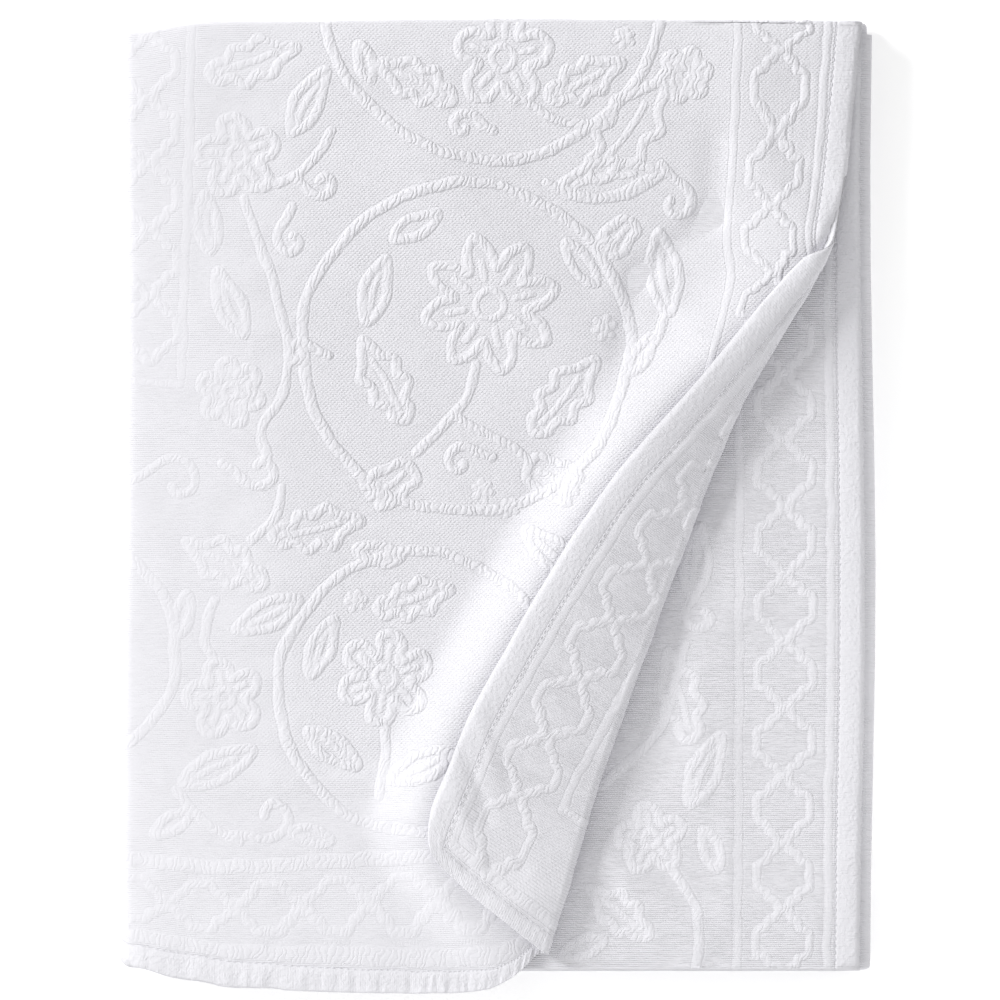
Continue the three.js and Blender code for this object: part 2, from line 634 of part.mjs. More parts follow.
const HEM_INNER = HEM_WIDTH + HEM_STEP;
const acrossHidden = [
  ...spread(LEFT_BEND_END, RIGHT_BEND_START, 5),
  ...spread(RIGHT_BEND_START, RIGHT_BEND_END, FOLD_STEPS).slice(1),
  ...spread(RIGHT_BEND_END, COVERLET_WIDTH - HEM_INNER, 5).slice(1),
  COVERLET_WIDTH - HEM_WIDTH,
  COVERLET_WIDTH,
];
const alongRows = {
  top: [0, HEM_WIDTH, HEM_INNER, ...spread(HEM_INNER, TOP_PLY_LENGTH, 19).slice(1, -1)],
  topBend: spread(TOP_PLY_LENGTH, SECOND_PLY_START, FOLD_STEPS),
  second: spread(SECOND_PLY_START, SECOND_PLY_END, 8).slice(1, -1),
  lowBend: spread(SECOND_PLY_END, THIRD_PLY_START, FOLD_STEPS),
  third: [
    ...spread(THIRD_PLY_START, COVERLET_LENGTH - HEM_INNER, 5).slice(1),
    COVERLET_LENGTH - HEM_WIDTH,
    COVERLET_LENGTH,
  ],
};
const isBend = (s) =>
  (s >= FRONT_WIDTH - 1e-6 && s <= LEFT_BEND_END + 1e-6) || (s >= RIGHT_BEND_START - 1e-6 && s <= RIGHT_BEND_END + 1e-6);

// The climb to the turned-back corner, as cloth before its fold, and its columns.
const CLIMB_RUN = 190;
const CLIMB_STEPS = 14;

// Columns of one row: the turned-back corner has its own, and every row shares the bends and the hems.
function rowColumns(t, kind, index) {
  const [flapEnd, rollEnd] = flapEnds(t);
  const every = kind !== 'top' || index % 2 === 0 || index < 3;
  const bend = spread(FRONT_WIDTH, LEFT_BEND_END, FOLD_STEPS);
  const sides = [0, HEM_WIDTH, HEM_INNER];
  let flapColumns = [];
  if (kind === 'top') {
    const flapSteps = Math.max(Math.round((flapEnd - HEM_INNER) / 18), 1);
    flapColumns = [
      ...spread(HEM_INNER, flapEnd, flapSteps).slice(1),
      ...spread(flapEnd, rollEnd, FOLD_STEPS + 1).slice(1),
    ];
  } else flapColumns = [flapEnd, rollEnd];
  let frontColumns = [];
  if (kind === 'top') {
    const climbStart = rollEnd + CLIMB_RUN;
    frontColumns = [
      ...spread(rollEnd, climbStart, CLIMB_STEPS).slice(1),
      ...spread(climbStart, FRONT_WIDTH, 4).slice(1, -1),
    ];
  } else frontColumns = spread(rollEnd, FRONT_WIDTH, 6).slice(1, -1);
  if (!every) return [...sides, ...flapColumns, ...frontColumns];
  return [...sides, ...flapColumns, ...frontColumns, ...bend, ...acrossHidden.slice(1)];
}

function basePoints() {
  const points = [];
  for (const [kind, rows] of Object.entries(alongRows)) {
    rows.forEach((t, index) => {
      const firm = kind === 'topBend' || kind === 'lowBend' || t < HEM_INNER + 1 || t > COVERLET_LENGTH - HEM_INNER - 1;
      for (const s of rowColumns(t, kind, index)) {
        const nearSide = s < HEM_INNER + 1 || s > COVERLET_WIDTH - HEM_INNER - 1;
        points.push({ s, t, raise: 0, firm: firm || nearSide || isBend(s) });
      }
    });
  }
  return points;
}

// Divides one side of the cloth: raised lines first, then the stations that don't crowd them.
function divideSide(raiseCords) {
  const [width, height] = planPoint(COVERLET_WIDTH, COVERLET_LENGTH);
  const division = new Division(width, height);
  const lines = [];
  raiseCords(division, lines);
  const raised = division.points.map((point) => point.plan);
  for (const point of basePoints()) {
    const [a, b] = planPoint(point.s, point.t);
    const crowd = point.firm ? 1.5 : 9;
    if (raised.some(([otherA, otherB]) => Math.hypot(a - otherA, b - otherB) < crowd)) continue;
    division.insert(point);
  }
  division.keepLines(lines);
  return division;
}

// Joins both sides of the cloth along its edge to one closed sheet.
function buildCoverlet() {
  const face = divideSide(faceCords);
  const back = divideSide(backCords);
  const vertices = [];
  const indices = [];
  const halfThickness = CLOTH_THICKNESS / 2;
  const addSide = (division, sign) => {
    const start = vertices.length / 3;
    for (const { s, t, raise } of division.points) {
      const extra = sign < 0 && t > SECOND_PLY_END ? 0 : hemExtra(s, t);
      const offset = sign * (halfThickness + extra + raise);
      const [inS, inT] = roundCorners(s, t);
      const place = new THREE.Vector3(...clothPoint(inS, inT)).addScaledVector(clothNormal(inS, inT), offset);
      vertices.push(place.x, place.y, place.z);
    }
    return start;
  };
  const faceStart = addSide(face, 1);
  const backStart = addSide(back, -1);
  for (const [i, j, k] of face.faces()) indices.push(faceStart + i, faceStart + k, faceStart + j);
  for (const [i, j, k] of back.faces()) indices.push(backStart + i, backStart + j, backStart + k);
  const edgeLoop = (division) => {
    const [width, height] = division.size;
    const order = ([a, b]) => {
      if (b < 1e-6) return a;
      if (a > width - 1e-6) return width + b;
      if (b > height - 1e-6) return width + height + (width - a);
      return 2 * width + height + (height - b);
    };
    return division.points
      .map((point, index) => ({ index, plan: point.plan }))
      .filter(({ plan: [a, b] }) => a < 1e-6 || b < 1e-6 || a > width - 1e-6 || b > height - 1e-6)
      .sort((one, two) => order(one.plan) - order(two.plan))
      .map(({ index }) => index);
  };
  const faceEdge = edgeLoop(face);
  const backEdge = edgeLoop(back);
  faceEdge.forEach((corner, index) => {
    const next = (index + 1) % faceEdge.length;
    const [f0, f1] = [faceStart + corner, faceStart + faceEdge[next]];
    const [b0, b1] = [backStart + backEdge[index], backStart + backEdge[next]];
    indices.push(f0, f1, b1, f0, b1, b0);
  });
  const geometry = new THREE.BufferGeometry();
  geometry.setAttribute('position', new THREE.Float32BufferAttribute(vertices, 3));
  geometry.setIndex(indices);
  geometry.computeVertexNormals();
  geometry.computeBoundingBox();
  return geometry;
}

const geometry = buildCoverlet();
const box = geometry.boundingBox;
geometry.translate(-(box.min.x + box.max.x) / 2, -(box.min.y + box.max.y) / 2, -box.min.z);

const coverlet = new THREE.Mesh(
  geometry,
  new THREE.MeshStandardMaterial({ color: CLOTH_COLOUR, roughness: 0.95, metalness: 0 }),
);
coverlet.name = 'coverlet';

const group = new THREE.Group();
group.add(coverlet);
export default group;
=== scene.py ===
import math

import bpy
import numpy as np
from bpy.props import FloatProperty, FloatVectorProperty, PointerProperty
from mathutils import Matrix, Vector, kdtree


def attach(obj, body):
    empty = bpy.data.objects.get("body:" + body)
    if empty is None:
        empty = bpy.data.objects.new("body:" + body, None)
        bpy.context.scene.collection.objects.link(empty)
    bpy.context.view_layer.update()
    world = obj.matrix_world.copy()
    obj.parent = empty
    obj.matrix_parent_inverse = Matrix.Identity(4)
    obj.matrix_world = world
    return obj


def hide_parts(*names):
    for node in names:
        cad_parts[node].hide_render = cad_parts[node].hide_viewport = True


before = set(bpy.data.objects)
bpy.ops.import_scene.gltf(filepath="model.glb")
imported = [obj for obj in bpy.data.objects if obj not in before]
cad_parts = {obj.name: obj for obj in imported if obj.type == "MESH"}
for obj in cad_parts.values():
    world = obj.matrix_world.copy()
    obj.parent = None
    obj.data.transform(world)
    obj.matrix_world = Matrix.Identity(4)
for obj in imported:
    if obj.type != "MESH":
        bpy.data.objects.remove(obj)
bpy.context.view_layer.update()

bl_info = {
    "name": "Folded matelasse coverlet",
    "version": (1, 0, 0),
    "blender": (4, 5, 0),
    "location": "View3D > Sidebar > Coverlet",
    "description": "A white matelasse coverlet folded to a packet, with a turned-back corner",
    "category": "Object",
}

MM = 0.001

# Sizes of the spread coverlet and of its folds, in millimetres, as in the part.
COVERLET_WIDTH = 1300.0
COVERLET_LENGTH = 1700.0
CLOTH_THICKNESS = 2.0
HEM_WIDTH = 15.0
CORNER_ROUND = 34.0
LAYER_PITCH = 3.2
SIDE_HEM_X = 217.8
LEFT_BEND_X = -216.0
RIGHT_BEND_X = 216.0
TOP_FOLD_Y = 284.8
BOTTOM_FOLD_Y = -276.4
TOP_PLY_LENGTH = 572.0
TOP_PLY_EASE = 0.977
PACKET_CENTRE_X = 0.243
PACKET_CENTRE_Y = -1.927

HALF_PITCH = LAYER_PITCH / 2
LENGTH_BEND = math.pi * HALF_PITCH
WIDTH_BEND = math.pi * 1.5 * LAYER_PITCH
FRONT_WIDTH = SIDE_HEM_X - LEFT_BEND_X
MIDDLE_WIDTH = RIGHT_BEND_X - LEFT_BEND_X
LEFT_BEND_END = FRONT_WIDTH + WIDTH_BEND
RIGHT_BEND_START = LEFT_BEND_END + MIDDLE_WIDTH
RIGHT_BEND_END = RIGHT_BEND_START + WIDTH_BEND
SECOND_PLY_START = TOP_PLY_LENGTH + LENGTH_BEND
SECOND_PLY_END = SECOND_PLY_START + TOP_FOLD_Y - BOTTOM_FOLD_Y
THIRD_PLY_START = SECOND_PLY_END + LENGTH_BEND

# The turned-back corner, a value for each station down the side hem. along: distance from the top fold.
# fold_x, fold_y: the outermost point of the fold. turned: cloth from there to the hem. lead: how far the
# turned rows point away from the side, in degrees. roll: radius of the fold. crest: where the top layer is
# highest, under the turned-back hem. lift: its height there. reach: the run of the climb to it. low: its
# height at the fold.
LAPEL = {
    "along": (0, 90, 128, 150, 243, 337, 476, 523, 572),
    "fold_x": (221.8, 212.8, 201.0, 190.2, 143.4, 108.6, 61.8, 48.0, 29.4),
    "fold_y": (284.8, 194.0, 157.0, 134.0, 55.0, -32.0, -162.0, -207.0, -268.0),
    "turned": (-6.3, -6.3, 0, 16.4, 33.3, 63.3, 89.7, 94.9, 103.6),
    "lead": (52, 52, 50, 48, 40, 36, 32, 33, 40),
    "roll": (4.0, 4.0, 4.2, 4.6, 5.0, 5.0, 5.0, 4.6, 4.4),
    "crest": (214, 206, 190, 174, 99, 35, -40, -30, 12),
    "lift": (0, 3, 9, 11, 16, 16, 13, 9, 3),
    "reach": (60, 70, 75, 70, 52, 44, 40, 36, 30),
    "low": (0, 2, 6, 7, 2, 0, 0, 0, 0),
}
LAPEL_CLEARANCE = 6.0
LAPEL_DROP = 0.35
EASE_START = 120.0
EASE_REST = 0.25

# How the bottom hem of the top layer hangs below a straight line.
HEM_SAG = {
    "across": (0, 0.1, 0.2, 0.35, 0.55, 0.75, 0.87, 0.93, 0.97, 1),
    "drop": (0, 8, 14, 17.5, 21, 23, 21.5, 14.5, 6.5, 0),
}
SAG_FROM = 300.0

# Soft swells of the layers: from x, from y, to x, to y, height, spread.
TOP_SWELLS = (
    (-40, 200, 60, 60, 2.2, 30),
    (150, 260, 160, 180, 2.0, 22),
    (-150, 120, -130, -60, 1.6, 34),
    (-60, -110, -30, -170, 2.4, 26),
)
UNDER_SWELLS = (
    (125, -20, 120, -170, 1.8, 14),
    (150, 60, 152, -60, 1.4, 12),
    (70, -215, 120, -262, 1.6, 12),
)

# Small creases, in the same columns, for the top layer, the second ply and the turned-back corner. The
# corner's are measured from the side hem and from the bottom hem.
TOP_CREASES = (
    (-62, -192, -36, -194, -0.9, 3.0),
    (130, 214, 128, 170, -2.0, 8.0),
    (128, 170, 84, 134, -2.0, 8.0),
    (84, 134, 74, 92, -1.8, 9.0),
    (100, 128, 128, 92, 1.0, 8.0),
    (158, 196, 182, 176, 0.9, 6.0),
    (168, 214, 196, 190, -0.9, 5.0),
    (-200, -216, -120, -226, 0.5, 6.0),
)
SECOND_CREASES = (
    (64, -204, 96, -262, 0.9, 5.0),
    (80, -190, 112, -240, -0.8, 6.0),
    (139, -10, 137, -250, 0.8, 5.0),
    (112, -60, 96, -150, -0.7, 7.0),
)
FLAP_CREASES = (
    (2, 92, 30, 60, 1.0, 5.0),
    (4, 64, 34, 40, -1.2, 4.0),
    (10, 40, 40, 22, 1.1, 4.0),
    (34, 16, 66, 30, -0.9, 4.0),
    (60, 10, 96, 34, 0.8, 5.0),
)

# How the packet's outline wanders: size, wave, start.
LEFT_WANDER = (1.1, 86, 0.6)
RIGHT_WANDER = (1.6, 74, 2.2)
TOP_WANDER = (0.9, 92, 1.1)
# How far the packet's sides lie past its bend and its top fold, and how its edges sag as a share of height.
SIDE_PAST_BEND = 9.0
TOP_PAST_FOLD = 3.0
EDGE_DROOP = 0.13
EDGE_DROOP_RUN = 20.0
# How far the ends of the left fold draw in, and how far the top layer's hem reaches down over them.
CORNER_TUCK = 5.5
CORNER_TUCK_RUN = 26.0
CORNER_REACH = 8.0
CORNER_REACH_RUN = 42.0
CORNER_REACH_UP = 130.0
CORNER_REACH_BEND = 0.7 * WIDTH_BEND

# Raised cords of the pattern: strength and half width of each kind.
CORDS = {
    "ring": (1.0, 3.0),
    "figure": (0.95, 2.6),
    "fine": (0.75, 1.8),
    "band": (0.9, 3.9),
    "edge": (0.5, 2.2),
    "chain": (0.8, 2.2),
}
FAR_FROM_CORD = 30.0
SAMPLE_STEP = 1.0
# How far a cord strays from its line: size, cell, and the seeds of its two ways.
CORD_WANDER = (0.8, 11.0, (41, 42))
CORD_WOBBLE = (0.45, 4.2, (43, 44))
# The borders: their cord lines from the hem, their whole width, and the first half of a lozenge, as steps
# along and across.
OUTER_CORD = 20.0
INNER_CORD = 74.0
BAND_OUTER = 20.5
BAND_INNER = 65.0
BOTTOM_BORDER = 72.0
SIDE_BORDER = 79.0
CHAIN_PITCH = 40.0
BAND_CHAIN_BREADTH = 0.74
CHAIN_STEPS = ((0, 0), (1.2, 3.4), (5.4, 4.6), (6.6, 8.6), (10.8, 9.8), (12.0, 14.0), (14.4, 16), (20, 16))

# Division of the sheet: columns and rows of large cells, each cut up to three times, so 8 fine ones.
FINE = 8
FLAP_COLUMNS = 5
ROLL_COLUMNS = 6
FRONT_COLUMNS = 30
BEND_COLUMNS = 6
MIDDLE_COLUMNS = 10
LAST_COLUMNS = 9
TOP_ROWS = 43
BEND_ROWS = 6
SECOND_ROWS = 43
THIRD_ROWS = 9


def ease(share):
    held = np.clip(share, 0.0, 1.0)
    return held * held * (3 - 2 * held)


def read_table(table, key, column, value):
    """A named column of a table at values of its first column, along a smooth curve."""
    keys = np.array(table[key], float)
    values = np.array(table[column], float)
    slopes = np.zeros(len(keys))
    slopes[1:-1] = (values[2:] - values[:-2]) / (keys[2:] - keys[:-2])
    at = np.clip(value, keys[0], keys[-1])
    row = np.clip(np.searchsorted(keys, at, side="right") - 1, 0, len(keys) - 2)
    run = keys[row + 1] - keys[row]
    u = (at - keys[row]) / run
    base = values[row] * (1 - ease(u)) + values[row + 1] * ease(u)
    start_pull = u * (1 - u) * (1 - u) * run * slopes[row]
    end_pull = u * u * (u - 1) * run * slopes[row + 1]
    return base + start_pull + end_pull


def lapel(column, along):
    return read_table(LAPEL, "along", column, along)


def ridges(rows, x, y):
    """Height of long soft ridges and troughs at a place."""
    height = np.zeros(np.shape(x))
    for from_x, from_y, to_x, to_y, size, spread in rows:
        dx, dy = to_x - from_x, to_y - from_y
        share = np.clip(((x - from_x) * dx + (y - from_y) * dy) / (dx * dx + dy * dy), 0, 1)
        away = np.hypot(x - from_x - share * dx, y - from_y - share * dy)
        height = height + size * np.exp(-((away / spread) ** 2))
    return height


def roll_start(along):
    return lapel("turned", along) + (math.pi / 2) * lapel("roll", along)


def climb(along, x):
    """How far the top layer has climbed at a place x on the row: up to its crest, then down to the fold."""
    lift = lapel("lift", along)
    crest = lapel("crest", along)
    end = np.maximum(lapel("fold_x", along) - lapel("roll", along), crest + 1)
    rise = lift * (1 - ease((crest - x) / lapel("reach", along)))
    past = np.clip((x - crest) / (end - crest), 0, 1)
    low = lapel("low", along)
    return np.where(x < crest, rise, low + (lift - low) * (1 - past * past * (1.5 - 0.5 * past)))


def top_layer(from_hem, along):
    """The top layer of the front panel, from cloth beyond the side hem and below the top fold."""
    roll = lapel("roll", along)
    fold_x = lapel("fold_x", along)
    fold_y = lapel("fold_y", along)
    start = roll_start(along)
    past = start - from_hem
    edge_y = TOP_FOLD_Y - TOP_PLY_EASE * along

    cloth = FRONT_WIDTH - start
    room = fold_x - roll - LEFT_BEND_X
    from_left = FRONT_WIDTH - from_hem
    share = np.clip((from_left - EASE_START) / (cloth - EASE_START), 0, 1)
    fit = (room - EASE_START) / (cloth - EASE_START)
    power = (1 / fit - EASE_REST) / (1 - EASE_REST)
    eased = (1 - EASE_REST) * (1 - (1 - share) ** power) + EASE_REST * share
    run = np.where(from_left > EASE_START, EASE_START + (room - EASE_START) * eased, from_left)
    flat_x = LEFT_BEND_X + run
    across = run / room
    sag = read_table(HEM_SAG, "across", "drop", across)
    deep = np.clip((along - SAG_FROM) / (TOP_PLY_LENGTH - SAG_FROM), 0, 1) ** 2
    flat_y = edge_y + (fold_y - edge_y) * ease(across) - sag * deep
    flat_z = climb(along, flat_x)

    lead = np.radians(lapel("lead", along))
    angle = np.clip(past / roll, 0, math.pi)
    beyond = np.maximum(past - math.pi * roll, 0)
    low_x = fold_x - roll * (1 - np.sin(angle))
    back = roll * (1 - np.sin(angle)) + beyond
    high_x = fold_x - back * np.cos(lead)
    high_y = fold_y + back * np.sin(lead)
    beneath = along - (high_y - fold_y) / TOP_PLY_EASE
    flap = np.maximum(start - math.pi * roll, 0.001)
    rest = np.maximum(LAPEL_CLEARANCE, 2 * roll - LAPEL_DROP * flap)
    fall = (rest - 2 * roll) * ease(beyond / flap)
    rise = roll * (1 - np.cos(angle))
    is_low = angle < math.pi / 2
    turned_x = np.where(is_low, low_x, high_x)
    turned_y = np.where(is_low, fold_y, high_y)
    turned_z = np.where(is_low, climb(along, low_x) + rise, climb(beneath, high_x) + rise + fall)

    is_flat = past <= 0
    x = np.where(is_flat, flat_x, turned_x)
    y = np.where(is_flat, flat_y, turned_y)
    z = np.where(is_flat, flat_z, turned_z) + ridges(TOP_SWELLS, x, y)
    return x, y, z


def round_corners(s, t):
    """Rounds the four corners of the spread cloth."""
    def to_edge(value, size):
        low = value < CORNER_ROUND
        high = value > size - CORNER_ROUND
        inner = np.where(low, CORNER_ROUND, size - CORNER_ROUND)
        return low | high, inner, np.where(low, -1.0, 1.0)

    near_s, inner_s, sign_s = to_edge(s, COVERLET_WIDTH)
    near_t, inner_t, sign_t = to_edge(t, COVERLET_LENGTH)
    both = near_s & near_t
    u = np.where(both, np.abs(s - inner_s) / CORNER_ROUND, 0)
    v = np.where(both, np.abs(t - inner_t) / CORNER_ROUND, 0)
    round_s = inner_s + sign_s * u * np.sqrt(1 - v * v / 2) * CORNER_ROUND
    round_t = inner_t + sign_t * v * np.sqrt(1 - u * u / 2) * CORNER_ROUND
    return np.where(both, round_s, s), np.where(both, round_t, t)


def fold_length(t):
    """The length fold: three plies back and forth. Gives y and the height in that stack."""
    turn_top = (t - TOP_PLY_LENGTH) / HALF_PITCH
    turn_low = (t - SECOND_PLY_END) / HALF_PITCH
    stages = [t < TOP_PLY_LENGTH, t < SECOND_PLY_START, t < SECOND_PLY_END, t < THIRD_PLY_START]
    y = np.select(stages, [
        TOP_FOLD_Y - TOP_PLY_EASE * (TOP_PLY_LENGTH - t),
        TOP_FOLD_Y + HALF_PITCH * np.sin(turn_top),
        TOP_FOLD_Y - (t - SECOND_PLY_START),
        BOTTOM_FOLD_Y - HALF_PITCH * np.sin(turn_low),
    ], BOTTOM_FOLD_Y + (t - THIRD_PLY_START))
    depth = np.select(stages, [
        np.full(t.shape, 2 * LAYER_PITCH),
        1.5 * LAYER_PITCH + HALF_PITCH * np.cos(turn_top),
        np.full(t.shape, LAYER_PITCH),
        HALF_PITCH + HALF_PITCH * np.cos(turn_low),
    ], 0.0)
    return y, depth


def fold_width(s, depth):
    """The width fold: the stack of three plies goes back and forth three times."""
    floor = CLOTH_THICKNESS / 2
    left_turn = (s - FRONT_WIDTH) / WIDTH_BEND * math.pi
    right_turn = (s - RIGHT_BEND_START) / WIDTH_BEND * math.pi
    left_radius = HALF_PITCH + depth
    right_radius = HALF_PITCH + 2 * LAYER_PITCH - depth
    stages = [s < FRONT_WIDTH, s < LEFT_BEND_END, s < RIGHT_BEND_START, s < RIGHT_BEND_END]
    x = np.select(stages, [
        SIDE_HEM_X - s,
        LEFT_BEND_X - left_radius * np.sin(left_turn),
        LEFT_BEND_X + (s - LEFT_BEND_END),
        RIGHT_BEND_X + right_radius * np.sin(right_turn),
    ], RIGHT_BEND_X - (s - RIGHT_BEND_END))
    z = np.select(stages, [
        floor + 6 * LAYER_PITCH + depth,
        floor + 5.5 * LAYER_PITCH + left_radius * np.cos(left_turn),
        floor + 5 * LAYER_PITCH - depth,
        floor + 2.5 * LAYER_PITCH + right_radius * np.cos(right_turn),
    ], floor + depth)
    return x, z


def settle(x, y, z):
    """The packet sags a little at its edges and its outline wanders."""
    in_x = np.maximum(RIGHT_BEND_X + SIDE_PAST_BEND - np.abs(x), 0)
    in_y = np.maximum(TOP_FOLD_Y + TOP_PAST_FOLD - np.abs(y), 0)
    droop = EDGE_DROOP * (np.exp(-in_x / EDGE_DROOP_RUN) + np.exp(-in_y / EDGE_DROOP_RUN))
    left_share = np.clip(-x / RIGHT_BEND_X, 0, 1) ** 3
    right_share = np.clip(x / RIGHT_BEND_X, 0, 1) ** 3
    top_share = np.clip(y / TOP_FOLD_Y, 0, 1) ** 3
    end_share = np.abs(np.clip(y / TOP_FOLD_Y, -1, 1)) ** 3

    def wander(edge, place):
        return edge[0] * np.sin(place / edge[1] + edge[2])

    tuck = CORNER_TUCK * np.exp(-(((x - LEFT_BEND_X) / CORNER_TUCK_RUN) ** 2)) * end_share * np.sign(y)
    lowest = CLOTH_THICKNESS / 2
    return (
        x + left_share * wander(LEFT_WANDER, y) + right_share * wander(RIGHT_WANDER, y),
        y + top_share * wander(TOP_WANDER, x) - tuck,
        lowest + (z - lowest) * (1 - droop),
    )


def corner_reach(s, t):
    """How much further down the top layer's hem comes at the left fold, over the layers below it."""
    before = ease((s - FRONT_WIDTH + CORNER_REACH_RUN) / CORNER_REACH_RUN)
    after = ease((FRONT_WIDTH + CORNER_REACH_BEND - s) / CORNER_REACH_BEND)
    return CORNER_REACH * before * after * ease(1 - t / CORNER_REACH_UP)


def cloth_point(s, t):
    """The middle of the cloth's thickness, in space, at points of the spread cloth."""
    y, depth = fold_length(t)
    x, z = fold_width(s, depth)
    is_top = (t < TOP_PLY_LENGTH) & (s < FRONT_WIDTH)
    top_x, top_y, lift = top_layer(s, np.clip(TOP_PLY_LENGTH - t, 0, TOP_PLY_LENGTH))
    is_second = (s < FRONT_WIDTH) & (t > SECOND_PLY_START) & (t < SECOND_PLY_END)
    under = np.where(is_second, ridges(UNDER_SWELLS, x, y), 0)
    x = np.where(is_top, top_x, x)
    y = np.where(is_top, top_y, y) - corner_reach(s, t)
    return settle(x, y, z + np.where(is_top, lift, under))


def cloth_normal(s, t):
    """Unit normals that point out of the cloth's face."""
    small = 0.05
    left = np.stack(cloth_point(s - small, t), -1)
    right = np.stack(cloth_point(s + small, t), -1)
    low = np.stack(cloth_point(s, t - small), -1)
    high = np.stack(cloth_point(s, t + small), -1)
    normal = np.cross(high - low, right - left)
    return normal / np.linalg.norm(normal, axis=-1, keepdims=True)


# Where each place of the cloth lies in its pattern.

PLAIN, FRONT, SECOND, FLAP = 0, 1, 2, 3
# How the pattern runs on round the left fold and the top fold.
LEFT_FOLD_STRETCH = 1.67
TOP_FOLD_STRETCH = 1.6
# How far under the turned-back corner, past its roll, and under the fold a place still counts as seen.
SEEN_UNDER_CORNER = 7.0
SEEN_PAST_ROLL = 6.0
SEEN_UNDER_FOLD = 10.0
SIDE_SAMPLES = 120
END_SAMPLES = 40
FOLD_SAMPLES = 200


def edge_samples():
    """Outline of what the turned-back corner hides, as y and x, from the apex down to the bottom hem."""
    along = np.linspace(LAPEL["along"][2], TOP_PLY_LENGTH, SIDE_SAMPLES)
    side_x, side_y, _ = top_layer(np.zeros(SIDE_SAMPLES), along)
    across = np.linspace(0, LAPEL["turned"][-1], END_SAMPLES)
    end_x, end_y, _ = top_layer(across, np.full(END_SAMPLES, TOP_PLY_LENGTH))
    y = np.concatenate([side_y, end_y])
    x = np.concatenate([side_x, end_x])
    order = np.argsort(y)
    return y[order], x[order]


HIDE_Y, HIDE_X = edge_samples()
FOLD_ALONG = np.linspace(0, TOP_PLY_LENGTH, FOLD_SAMPLES)
FOLD_LINE_Y = lapel("fold_y", FOLD_ALONG)[::-1]
FOLD_LINE_X = lapel("fold_x", FOLD_ALONG)[::-1]


def place_in_pattern(side, s, t):
    """Kind of pattern, its two coordinates and whether the place shows, for one side of the cloth."""
    along = np.clip(TOP_PLY_LENGTH - t, 0, TOP_PLY_LENGTH)
    is_top = t < TOP_PLY_LENGTH
    start = roll_start(along)
    kind = np.full(s.shape, PLAIN)
    u = s.copy()
    v = t.copy()
    shows = np.zeros(s.shape, bool)
    if side == "face":
        x, y, _ = top_layer(np.minimum(s, FRONT_WIDTH), along)
        x = np.where(s > FRONT_WIDTH, LEFT_BEND_X - (s - FRONT_WIDTH) * LEFT_FOLD_STRETCH, x)
        over_top = (t >= TOP_PLY_LENGTH) & (t < SECOND_PLY_START)
        y = np.where(over_top, TOP_FOLD_Y + (t - TOP_PLY_LENGTH) * TOP_FOLD_STRETCH, y)
        front = (is_top | over_top) & (s < LEFT_BEND_END) & (s >= start)
        kind = np.where(front, FRONT, kind)
        hidden = (y < HIDE_Y[-1]) & (x > np.interp(y, HIDE_Y, HIDE_X) + SEEN_UNDER_CORNER)
        shows = front & ~hidden
        u = np.where(front, x, SIDE_HEM_X - s)
        v = np.where(front, y, v)
    else:
        flap = is_top & (s < start + SEEN_PAST_ROLL) & (along > LAPEL["along"][1])
        second = (t >= SECOND_PLY_START) & (t < THIRD_PLY_START) & (s < FRONT_WIDTH)
        x = SIDE_HEM_X - s
        y = TOP_FOLD_Y - (t - SECOND_PLY_START)
        kind = np.where(flap, FLAP, np.where(second, SECOND, kind))
        fold_x = np.interp(y, FOLD_LINE_Y, FOLD_LINE_X)
        shows = flap | (second & (x > fold_x - SEEN_UNDER_FOLD))
        u = np.where(second, x, u)
        v = np.where(second, y, v)
    return kind, u, v, shows


# The pattern's figures. Each shape is drawn at unit size as lines of points, with a flag for a closed line
# and the kind of its cord.


def polar(reach, angle):
    return (reach * math.cos(angle), reach * math.sin(angle))


def petal_shape(petals, valley, tip):
    """A flower from above, with its heart and a short vein in each petal."""
    outline = []
    veins = []
    for index in range(petals):
        for offset, reach in ((-0.5, valley), (-0.27, 0.86), (0.0, tip), (0.27, 0.9)):
            outline.append(polar(reach, 2 * math.pi * (index + offset) / petals))
        angle = 2 * math.pi * index / petals
        veins.append(([polar(0.44, angle), polar(0.7, angle)], False, "fine"))
    heart = [polar(0.24, angle) for angle in np.linspace(0, 2 * math.pi, 9)[:-1]]
    return [(outline, True, "figure"), (heart, True, "fine"), *veins]


def bud_shape():
    cup = [(-0.7, 0.0), (-0.55, 0.45), (0.0, 0.5), (0.55, 0.62), (1.0, 0.42), (0.62, 0.16), (1.05, 0.0),
           (0.62, -0.16), (1.0, -0.42), (0.55, -0.6), (0.0, -0.5), (-0.5, -0.42)]
    return [(cup, True, "figure"), ([(-0.3, 0.0), (0.2, 0.04), (0.45, 0.0)], False, "fine")]


def leaf_shape():
    outline = [(-1, 0), (-0.6, 0.26), (-0.1, 0.4), (0.45, 0.32), (1.08, 0.02), (0.5, -0.24), (0.0, -0.36),
               (-0.55, -0.28)]
    return [(outline, True, "figure"), ([(-0.7, 0), (0.0, 0.07), (0.6, 0.04)], False, "fine")]


def lobed_leaf_shape():
    outline = [(-1, 0.02), (-0.78, 0.24), (-0.5, 0.2), (-0.3, 0.46), (0.02, 0.34), (0.3, 0.5), (0.6, 0.28),
               (1.1, 0.04), (0.62, -0.18), (0.36, -0.44), (0.06, -0.3), (-0.24, -0.46), (-0.5, -0.2),
               (-0.8, -0.22)]
    return [(outline, True, "figure"), ([(-0.72, 0.02), (0.0, 0.0), (0.55, 0.05)], False, "fine")]


def small_leaf_shape():
    return [([(-1, 0), (-0.35, 0.38), (0.4, 0.3), (1, 0), (0.35, -0.34), (-0.4, -0.32)], True, "figure")]


